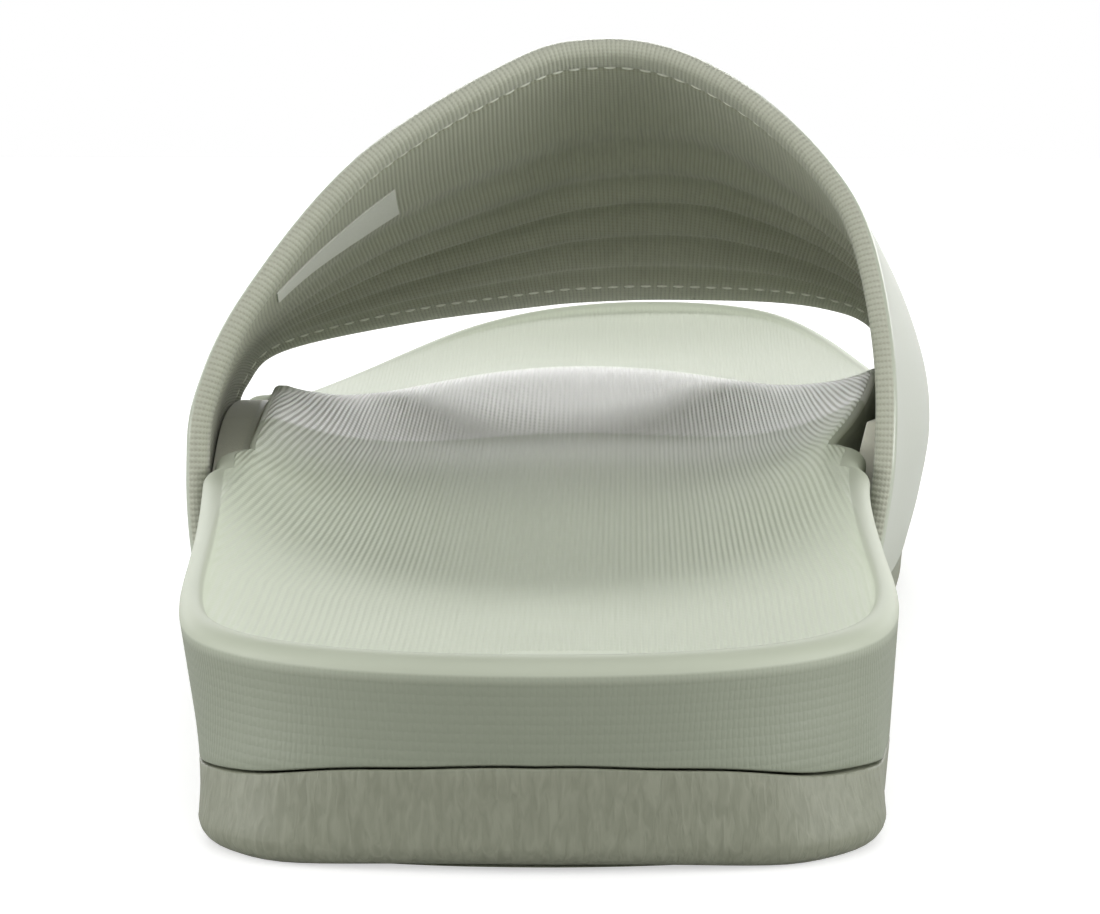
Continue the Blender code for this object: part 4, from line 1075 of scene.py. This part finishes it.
def mesh_from_loops(name, loops, wall_steps, edge_steps, cloth, finish_at):
    """A closed mesh along wall loops, with its ends filled, a cloth map, and each face's finish."""
    count = loops.shape[1]
    rows = loops.shape[0]
    shape = bmesh.new()
    grid = [[shape.verts.new(point) for point in loop] for loop in loops]
    cloth_map = shape.loops.layers.uv.new("cloth")
    for i in range(rows - 1):
        for k in range(count):
            following = (k + 1) % count
            places = ((i, k), (i, following), (i + 1, following), (i + 1, k))
            face = shape.faces.new([grid[a][b] for a, b in places])
            face.material_index = int(finish_at[i][k])
            for corner, (a, b) in zip(face.loops, places):
                corner[cloth_map].uv = cloth[a][b]
    far = wall_steps - 1
    for end in (grid[0], grid[-1]):
        for k in range(far):
            mirror = 2 * far + edge_steps + 1 - k
            shape.faces.new((end[k], end[k + 1], end[mirror - 1], end[mirror]))
        shape.faces.new([end[k] for k in range(far, far + edge_steps + 2)])
        back_edge = range(2 * far + edge_steps + 1, 2 * far + 2 * edge_steps + 3)
        shape.faces.new([end[k % count] for k in back_edge])
    bmesh.ops.recalc_face_normals(shape, faces=shape.faces)
    mesh = bpy.data.meshes.new(name)
    shape.to_mesh(mesh)
    shape.free()
    return mesh


def cloth_places(loops):
    """Cloth coordinates of loop points: distance over the instep, and distance round each loop."""
    over = np.linalg.norm(np.diff(loops.mean(axis=1), axis=0), axis=1)
    over = np.concatenate([[0.0], np.cumsum(over)])
    around = np.linalg.norm(np.diff(loops, axis=1), axis=2).mean(axis=0)
    around = np.concatenate([[0.0], np.cumsum(around)])
    return np.stack(np.broadcast_arrays(over[:, None], around[None, :]), axis=-1)


def make_strap():
    folds = np.linspace(0.0, LAST_FOLD, 181)
    ways = band_ways()
    span = band_span(folds)
    relief = lining_relief(folds[:, None], ways[None, :], span[:, None])
    loops, edge_steps = wall_loops(folds, ways, 0.0, STRAP_WALL, relief)
    steps = len(ways)
    from_edge = (np.minimum(ways, 1.0 - ways)[None, :] * span[:, None])[:, ::-1]
    inner = steps + edge_steps
    lined = np.minimum(from_edge, np.roll(from_edge, -1, axis=1)) > LINING_FROM_EDGE
    # The coated outside ends two steps into each rounded edge, and the fold and the lining follow it.
    finish_at = np.zeros((len(folds), loops.shape[1]), int)
    finish_at[:, steps + 1: inner + steps + edge_steps - 2] = 2
    finish_at[:, inner: inner + steps] = np.where(lined, 1, 2)
    mesh = mesh_from_loops("strap_body", loops, steps, edge_steps, cloth_places(loops), finish_at)
    lining = polyester_knit("polyester knit lining", "#9c9e8b", "#a8aa97", "#6f7262")
    # Painted light: the folded edge is the lining's own knit, given paler colours where the edge catches the
    # light.
    fold = polyester_knit("polyester knit, folded over the edge, painted paler", "#a6a898", "#b2b4a4", "#7a7d6f")
    return add_piece("strap_body", mesh, [coated_synthetic(), lining, fold], 60.0)


strap = make_strap()
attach(strap, "root")
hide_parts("strap")


# Tabs inside the band's feet.
# A padded piece of brushed olive microfibre lies inside each foot of the band, goes down into the pocket
# with it and stands beside the slot. A paler cut edge runs along its top. At the heel end the lateral
# tab is lower by a share, and the medial tab leans away from the slot.
TAB_HEIGHT = 0.0220
TAB_DROPS = {-1: 0.27, 1: 0.0}
TAB_LEANS = {-1: 0.0, 1: 0.0030}
TAB_END = 0.97
TAB_STRIP = 0.0011
TAB_EDGE_RADIUS = 0.00025


def brushed_synthetic():
    """Microfibre brushed to a short nap: matt, with a soft sheen at its edges."""
    finish, tree, shader = new_finish("microfibre, brushed")
    place = add_node(tree, "ShaderNodeTexCoord", {}, {})
    # Nap about 0.2 mm, drawn at 0.35 mm so that it shows.
    nap = add_node(tree, "ShaderNodeTexNoise", {}, {
        "Vector": (place, "Object"), "Scale": 2800.0, "Detail": 3.0})
    strokes = add_node(tree, "ShaderNodeTexNoise", {}, {
        "Vector": (place, "Object"), "Scale": 160.0, "Detail": 3.0})
    bump = add_node(tree, "ShaderNodeBump", {}, {
        "Height": (nap, "Fac"), "Strength": 0.5, "Distance": 0.00015})
    colour = add_node(tree, "ShaderNodeMix", {"data_type": "RGBA"}, {
        0: (strokes, "Fac"), 6: hex_colour("#c4c4b5"), 7: hex_colour("#d6d5c7")})
    tree.links.new(colour.outputs[2], shader.inputs["Base Color"])
    tree.links.new(bump.outputs["Normal"], shader.inputs["Normal"])
    shader.inputs["Roughness"].default_value = 0.9
    shader.inputs["Sheen Weight"].default_value = 0.35
    shader.inputs["Sheen Roughness"].default_value = 0.5
    return finish


def cut_microfibre_edge():
    """The paler cut edge of the microfibre, smoothed by hot cutting."""
    finish, tree, shader = new_finish("microfibre, cut edge")
    place = add_node(tree, "ShaderNodeTexCoord", {}, {})
    fibres = add_node(tree, "ShaderNodeTexNoise", {}, {
        "Vector": (place, "Object"), "Scale": 1500.0, "Detail": 2.0})
    colour = add_node(tree, "ShaderNodeMix", {"data_type": "RGBA"}, {
        0: (fibres, "Fac"), 6: hex_colour("#c2c2b6"), 7: hex_colour("#d6d6cc")})
    tree.links.new(colour.outputs[2], shader.inputs["Base Color"])
    shader.inputs["Roughness"].default_value = 0.55
    return finish


def fold_at_height(side, rise):
    """The fold where the band's middle stands a given height above its foot."""
    folds = np.linspace(0.0, 4.0, 161)
    if side > 0:
        folds = LAST_FOLD - folds
    heights = band_outer(folds, 0.5)[:, 2]
    return float(np.interp(rise, heights - heights[0], folds))


def tab_points(side):
    """A tab's rows along the band's inner face and beside the slot, and the inner line of its pale strip."""
    foot = 0.0 if side < 0 else LAST_FOLD
    highs = np.linspace(0.0, 1.0, 25)[:, None]
    back = float(band_outer(foot, 0.0)[1]) - HEEL_CENTRE[1]
    front = float(band_outer(foot, 1.0)[1]) - HEEL_CENTRE[1]
    start = (SLOT_STARTS[side] * LENGTH + FIT_GAP - back) / (front - back)
    shares = np.linspace(0.0, 1.0, 61)
    ways = start + (TAB_END - start) * shares
    rises = highs * (1.0 - TAB_DROPS[side] * (1.0 - shares[None, :]))
    folds = foot + (fold_at_height(side, TAB_HEIGHT) - foot) * rises
    points, normals, _ = band_frame(folds, ways[None, :])
    outside = points - normals * (STRAP_WALL + FIT_GAP)
    y = outside[..., 1] - HEEL_CENTRE[1]
    inside = outside.copy()
    inset = slot_inset(y, side) - SLOT_WIDTH - TAB_LEANS[side] * (1.0 - shares[None, :]) * highs**2
    inside[..., 0] = outline_across(y, side) - side * inset + HEEL_CENTRE[0]
    strip = inside[-1].copy()
    strip[:, 0] += side * np.minimum(TAB_STRIP, np.abs(outside[-1, :, 0] - inside[-1, :, 0]) * 0.6)
    return outside, inside, strip


def make_tab(name, side, finishes):
    """A tab with filled ends, softened edges and a pale strip along its inner top edge."""
    outside, inside, strip = tab_points(side)
    shape = bmesh.new()
    out_grid = [[shape.verts.new(point) for point in row] for row in outside]
    in_grid = [[shape.verts.new(point) for point in row] for row in inside]
    strip_row = [shape.verts.new(point) for point in strip]
    last = len(strip_row) - 1
    for k in range(last):
        for low, high in zip(out_grid, out_grid[1:]):
            shape.faces.new((low[k], low[k + 1], high[k + 1], high[k]))
        for low, high in zip(in_grid, in_grid[1:]):
            shape.faces.new((low[k], low[k + 1], high[k + 1], high[k]))
        shape.faces.new((out_grid[0][k], out_grid[0][k + 1], in_grid[0][k + 1], in_grid[0][k]))
        shape.faces.new((out_grid[-1][k], out_grid[-1][k + 1], strip_row[k + 1], strip_row[k]))
        pale = shape.faces.new((strip_row[k], strip_row[k + 1], in_grid[-1][k + 1], in_grid[-1][k]))
        pale.material_index = 1
    for k in (0, last):
        for i in range(len(out_grid) - 2):
            shape.faces.new((out_grid[i][k], out_grid[i + 1][k], in_grid[i + 1][k], in_grid[i][k]))
        shape.faces.new((out_grid[-2][k], out_grid[-1][k], strip_row[k], in_grid[-1][k], in_grid[-2][k]))
    bmesh.ops.recalc_face_normals(shape, faces=shape.faces)
    rims = [edge for edge in shape.edges if edge.calc_face_angle(0.0) > math.radians(50.0)]
    bmesh.ops.bevel(shape, geom=rims, offset=TAB_EDGE_RADIUS, segments=3, affect="EDGES", profile=0.5)
    mesh = bpy.data.meshes.new(name)
    shape.to_mesh(mesh)
    shape.free()
    piece = add_piece(name, mesh, finishes)
    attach(piece, "root")
    return piece


tab_finishes = [brushed_synthetic(), cut_microfibre_edge()]
tab_lateral = make_tab("tab_lateral_body", -1, tab_finishes)
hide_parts("strap_tab_lateral")
tab_medial = make_tab("tab_medial_body", 1, tab_finishes)
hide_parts("strap_tab_medial")


# Stitching.
# A lockstitch in pale sage thread holds the lining 4 mm in from each edge of the band. It goes through
# the turned-in edge only, so the coated outside shows none of it.
STITCH_PITCH = 0.0026
STITCH_LENGTH = 0.0018
THREAD_WIDTH = 0.00050
THREAD_HEIGHT = 0.00040


def sewing_thread():
    """Bonded polyester thread: twisted, with a slight shine."""
    finish, tree, shader = new_finish("polyester sewing thread")
    place = add_node(tree, "ShaderNodeTexCoord", {}, {})
    twist = add_node(tree, "ShaderNodeTexNoise", {}, {
        "Vector": (place, "Object"), "Scale": 3500.0, "Detail": 2.0})
    colour = add_node(tree, "ShaderNodeMix", {"data_type": "RGBA"}, {
        0: (twist, "Fac"), 6: hex_colour("#d6d8cb"), 7: hex_colour("#eceee2")})
    tree.links.new(colour.outputs[2], shader.inputs["Base Color"])
    shader.inputs["Roughness"].default_value = 0.55
    return finish


def seam_lines():
    """The seams' lines on the lining along both edges, with their normals."""
    points = []
    edges = []
    normals = []
    folds = np.linspace(1.2, LAST_FOLD - 1.2, 320)
    span = band_span(folds)
    for near_back in (True, False):
        way = STITCH_FROM_EDGE / span if near_back else 1.0 - STITCH_FROM_EDGE / span
        outer, normal, _ = band_frame(folds, way)
        relief = lining_relief(folds, way, span)
        lining = outer - normal * (STRAP_WALL + relief + THREAD_HEIGHT / 4.0)[:, None]
        first = len(points)
        points.extend(lining.tolist())
        normals.extend((-normal).tolist())
        edges.extend((first + i, first + i + 1) for i in range(len(lining) - 1))
    mesh = bpy.data.meshes.new("seam lines")
    mesh.from_pydata(points, edges, [])
    facing = mesh.attributes.new("facing", "FLOAT_VECTOR", "POINT")
    facing.data.foreach_set("vector", np.array(normals).ravel())
    return mesh


def stitch_tree():
    """One stitch at every pitch along a line, laid along it and facing out of the cloth."""
    tree = bpy.data.node_groups.new("lockstitches along a seam", "GeometryNodeTree")
    tree.interface.new_socket("Seam lines", in_out="INPUT", socket_type="NodeSocketGeometry")
    for name in ("Pitch", "Stitch length", "Thread width", "Thread height"):
        tree.interface.new_socket(name, in_out="INPUT", socket_type="NodeSocketFloat")
    tree.interface.new_socket("Thread", in_out="INPUT", socket_type="NodeSocketMaterial")
    tree.interface.new_socket("Stitches", in_out="OUTPUT", socket_type="NodeSocketGeometry")
    given = add_node(tree, "NodeGroupInput", {}, {})
    seam = add_node(tree, "GeometryNodeMeshToCurve", {}, {"Mesh": (given, "Seam lines")})
    even = add_node(tree, "GeometryNodeResampleCurve", {"mode": "LENGTH"}, {
        "Curve": (seam, "Curve"), "Length": (given, "Pitch")})
    facing = add_node(tree, "GeometryNodeInputNamedAttribute", {"data_type": "FLOAT_VECTOR"}, {
        "Name": "facing"})
    along = add_node(tree, "GeometryNodeInputTangent", {}, {})
    lie = add_node(tree, "FunctionNodeAlignRotationToVector", {"axis": "X"}, {"Vector": (along, "Tangent")})
    turn = add_node(tree, "FunctionNodeAlignRotationToVector", {"axis": "Z", "pivot_axis": "X"}, {
        "Rotation": (lie, "Rotation"), "Vector": (facing, "Attribute")})
    bead = add_node(tree, "GeometryNodeMeshUVSphere", {}, {"Segments": 8, "Rings": 6, "Radius": 0.5})
    size = add_node(tree, "ShaderNodeCombineXYZ", {}, {
        0: (given, "Stitch length"), 1: (given, "Thread width"), 2: (given, "Thread height")})
    placed = add_node(tree, "GeometryNodeInstanceOnPoints", {}, {
        "Points": (even, "Curve"), "Instance": (bead, "Mesh"), "Rotation": (turn, "Rotation"),
        "Scale": (size, "Vector")})
    real = add_node(tree, "GeometryNodeRealizeInstances", {}, {"Geometry": (placed, "Instances")})
    dressed = add_node(tree, "GeometryNodeSetMaterial", {}, {
        "Geometry": (real, "Geometry"), "Material": (given, "Thread")})
    add_node(tree, "NodeGroupOutput", {}, {"Stitches": (dressed, "Geometry")})
    return tree


thread = sewing_thread()
stitch_mesh = grown_mesh("strap_stitching", seam_lines(), stitch_tree(), {
    "Pitch": STITCH_PITCH, "Stitch length": STITCH_LENGTH, "Thread width": THREAD_WIDTH,
    "Thread height": THREAD_HEIGHT, "Thread": thread})
stitching = bpy.data.objects.new("strap_stitching", stitch_mesh)
bpy.context.scene.collection.objects.link(stitching)
stitch_mesh.shade_smooth()
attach(stitching, "root")


# Label.
# A bare strip of pale woven tape, bonded to the lining at the lateral side with slanted ends. Each end
# has its ways from the band's back edge, and the bow keeps the strip straight on the curved lining.
LABEL_FOLDS = (4.17, 5.15)
LABEL_WAYS = ((0.105, 0.235), (0.205, 0.345))
LABEL_BOW = 0.045
LABEL_THICKNESS = 0.00022
LABEL_LIFT = 0.00004


def label_tape():
    """Woven satin tape, heat-bonded: pale grey, with a fine level weave."""
    finish, tree, shader = new_finish("satin label tape")
    place = add_node(tree, "ShaderNodeTexCoord", {}, {})
    weave = add_node(tree, "ShaderNodeTexNoise", {}, {
        "Vector": (place, "Object"), "Scale": 2400.0, "Detail": 2.0})
    bump = add_node(tree, "ShaderNodeBump", {}, {
        "Height": (weave, "Fac"), "Strength": 0.3, "Distance": 0.00008})
    colour = add_node(tree, "ShaderNodeMix", {"data_type": "RGBA"}, {
        0: (weave, "Fac"), 6: hex_colour("#c6c7c0"), 7: hex_colour("#d6d7d0")})
    tree.links.new(colour.outputs[2], shader.inputs["Base Color"])
    tree.links.new(bump.outputs["Normal"], shader.inputs["Normal"])
    shader.inputs["Roughness"].default_value = 0.5
    return finish


def make_label():
    folds = np.linspace(*LABEL_FOLDS, 25)
    share = (folds - LABEL_FOLDS[0]) / (LABEL_FOLDS[1] - LABEL_FOLDS[0])
    bow = LABEL_BOW * 4.0 * share * (1.0 - share)
    start = LABEL_WAYS[0][0] + (LABEL_WAYS[1][0] - LABEL_WAYS[0][0]) * share + bow
    end = LABEL_WAYS[0][1] + (LABEL_WAYS[1][1] - LABEL_WAYS[0][1]) * share + bow
    across = np.linspace(0.0, 1.0, 7)
    ways = start[:, None] + (end - start)[:, None] * across[None, :]
    fold_grid = np.broadcast_to(folds[:, None], ways.shape)
    outer, normal, _ = band_frame(fold_grid, ways)
    span = band_span(folds)[:, None]
    depth = STRAP_WALL + lining_relief(fold_grid, ways, span) + LABEL_LIFT
    low = outer - normal * depth[..., None]
    high = outer - normal * (depth + LABEL_THICKNESS)[..., None]
    shape = bmesh.new()
    under = [[shape.verts.new(point) for point in row] for row in low]
    over = [[shape.verts.new(point) for point in row] for row in high]
    rows, columns = ways.shape
    for i in range(rows - 1):
        for k in range(columns - 1):
            shape.faces.new((under[i][k], under[i + 1][k], under[i + 1][k + 1], under[i][k + 1]))
            shape.faces.new((over[i][k], over[i][k + 1], over[i + 1][k + 1], over[i + 1][k]))
    border = [(i, 0) for i in range(rows)]
    border += [(rows - 1, k) for k in range(1, columns)]
    border += [(i, columns - 1) for i in range(rows - 2, -1, -1)]
    border += [(0, k) for k in range(columns - 2, 0, -1)]
    for (a, b), (c, d) in zip(border, border[1:] + border[:1]):
        shape.faces.new((under[a][b], under[c][d], over[c][d], over[a][b]))
    bmesh.ops.recalc_face_normals(shape, faces=shape.faces)
    mesh = bpy.data.meshes.new("size_label")
    shape.to_mesh(mesh)
    shape.free()
    return add_piece("size_label", mesh, [label_tape()])


label = make_label()
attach(label, "root")


# Floor, light and camera.
# A plain white floor under a large soft light overhead, a low one at each side and a weak one in front.
# Behind the toe stand a lit backdrop and a narrow strip light, whose reflections pale the toe ridge, helped
# by a painted reflection in the ridge's colour.
FLOOR = 0.7
FLOOR_GLOW = 0.55
FRONT_FILL = 0.19
BACK_FILL = 0.10
CAMERA_PLACE = (0.01012, -0.6943, 0.1380)
CAMERA_LENS = 157.1
CAMERA_DOWN = 9.2
CAMERA_TURN = 1.0

floor_mesh = bpy.data.meshes.new("studio_floor")
floor_corners = [(-FLOOR, -FLOOR, 0.0), (FLOOR, -FLOOR, 0.0), (FLOOR, FLOOR, 0.0), (-FLOOR, FLOOR, 0.0)]
floor_mesh.from_pydata(floor_corners, [], [(0, 1, 2, 3)])
floor = bpy.data.objects.new("studio_floor", floor_mesh)
bpy.context.scene.collection.objects.link(floor)
floor_finish, floor_tree, floor_shader = new_finish("matt white floor")
floor_shader.inputs["Base Color"].default_value = hex_colour("#d2d2d2")
floor_shader.inputs["Roughness"].default_value = 0.9
floor_shader.inputs["Specular IOR Level"].default_value = 0.1
floor_shader.inputs["Emission Color"].default_value = (1.0, 1.0, 1.0, 1.0)
# The glow that burns the floor out to white is only seen, and lights nothing.
floor_ray = add_node(floor_tree, "ShaderNodeLightPath", {}, {})
floor_glow = add_node(floor_tree, "ShaderNodeMath", {"operation": "MULTIPLY"}, {
    0: (floor_ray, "Is Camera Ray"), 1: FLOOR_GLOW})
floor_tree.links.new(floor_glow.outputs["Value"], floor_shader.inputs["Emission Strength"])
floor_mesh.materials.append(floor_finish)


def add_softbox(name, place, target, size, power):
    """A rectangular area light that faces a point."""
    light = bpy.data.lights.new(name, "AREA")
    light.shape = "RECTANGLE"
    light.size = size[0]
    light.size_y = size[1]
    light.energy = power
    lamp = bpy.data.objects.new(name, light)
    bpy.context.scene.collection.objects.link(lamp)
    away = np.array(target) - np.array(place)
    lamp.location = place
    yaw = math.atan2(away[1], away[0])
    pitch = math.atan2(math.hypot(away[0], away[1]), -away[2])
    lamp.rotation_euler = (pitch, 0.0, yaw - math.pi / 2.0)
    return lamp


add_softbox("softbox overhead", (0.0, -0.45, 1.05), (0.0, 0.0, 0.03), (1.6, 1.6), 7.4)
add_softbox("softbox left", (-0.95, -0.25, 0.18), (0.0, 0.0, 0.03), (1.1, 0.3), 6.2)
add_softbox("softbox right", (0.95, -0.25, 0.18), (0.0, 0.0, 0.03), (1.1, 0.3), 7.0)
add_softbox("softbox in front", (0.0, -1.3, 0.60), (0.0, 0.05, 0.03), (1.0, 0.6), 4.2)
add_softbox("lit backdrop", (0.0, 1.2, 0.27), (0.0, 0.0, 0.10), (2.4, 0.5), 12.0)
add_softbox("strip light behind", (0.0, 0.90, 0.78), (0.0, 0.06, 0.03), (1.0, 0.18), 6.5)

world = bpy.data.worlds.new("white studio")
bpy.context.scene.world = world
world.use_nodes = True
world_tree = world.node_tree
seen = world_tree.nodes["Background"]
seen.inputs["Color"].default_value = (1.0, 1.0, 1.0, 1.0)
seen.inputs["Strength"].default_value = 1.0
toward = add_node(world_tree, "ShaderNodeTexCoord", {}, {})
toward_parts = add_node(world_tree, "ShaderNodeSeparateXYZ", {}, {0: (toward, "Generated")})
fill = add_node(world_tree, "ShaderNodeMapRange", {}, {
    "Value": (toward_parts, "Y"), "From Min": -0.7, "From Max": 0.7,
    "To Min": FRONT_FILL, "To Max": BACK_FILL})
lit = add_node(world_tree, "ShaderNodeBackground", {}, {
    "Color": (1.0, 1.0, 1.0, 1.0), "Strength": (fill, "Result")})
ray = add_node(world_tree, "ShaderNodeLightPath", {}, {})
mixed = add_node(world_tree, "ShaderNodeMixShader", {}, {
    0: (ray, "Is Camera Ray"), 1: (lit, "Background"), 2: (seen, "Background")})
world_tree.links.new(mixed.outputs[0], world_tree.nodes["World Output"].inputs["Surface"])

camera_data = bpy.data.cameras.new("camera")
camera_data.sensor_width = 36.0
camera_data.lens = CAMERA_LENS
camera_data.clip_start = 0.05
camera_data.clip_end = 50.0
camera = bpy.data.objects.new("camera", camera_data)
bpy.context.scene.collection.objects.link(camera)
camera.location = CAMERA_PLACE
camera.rotation_euler = (math.radians(90.0 - CAMERA_DOWN), 0.0, math.radians(CAMERA_TURN))
bpy.context.scene.camera = camera
bpy.context.scene.view_settings.view_transform = "Standard"
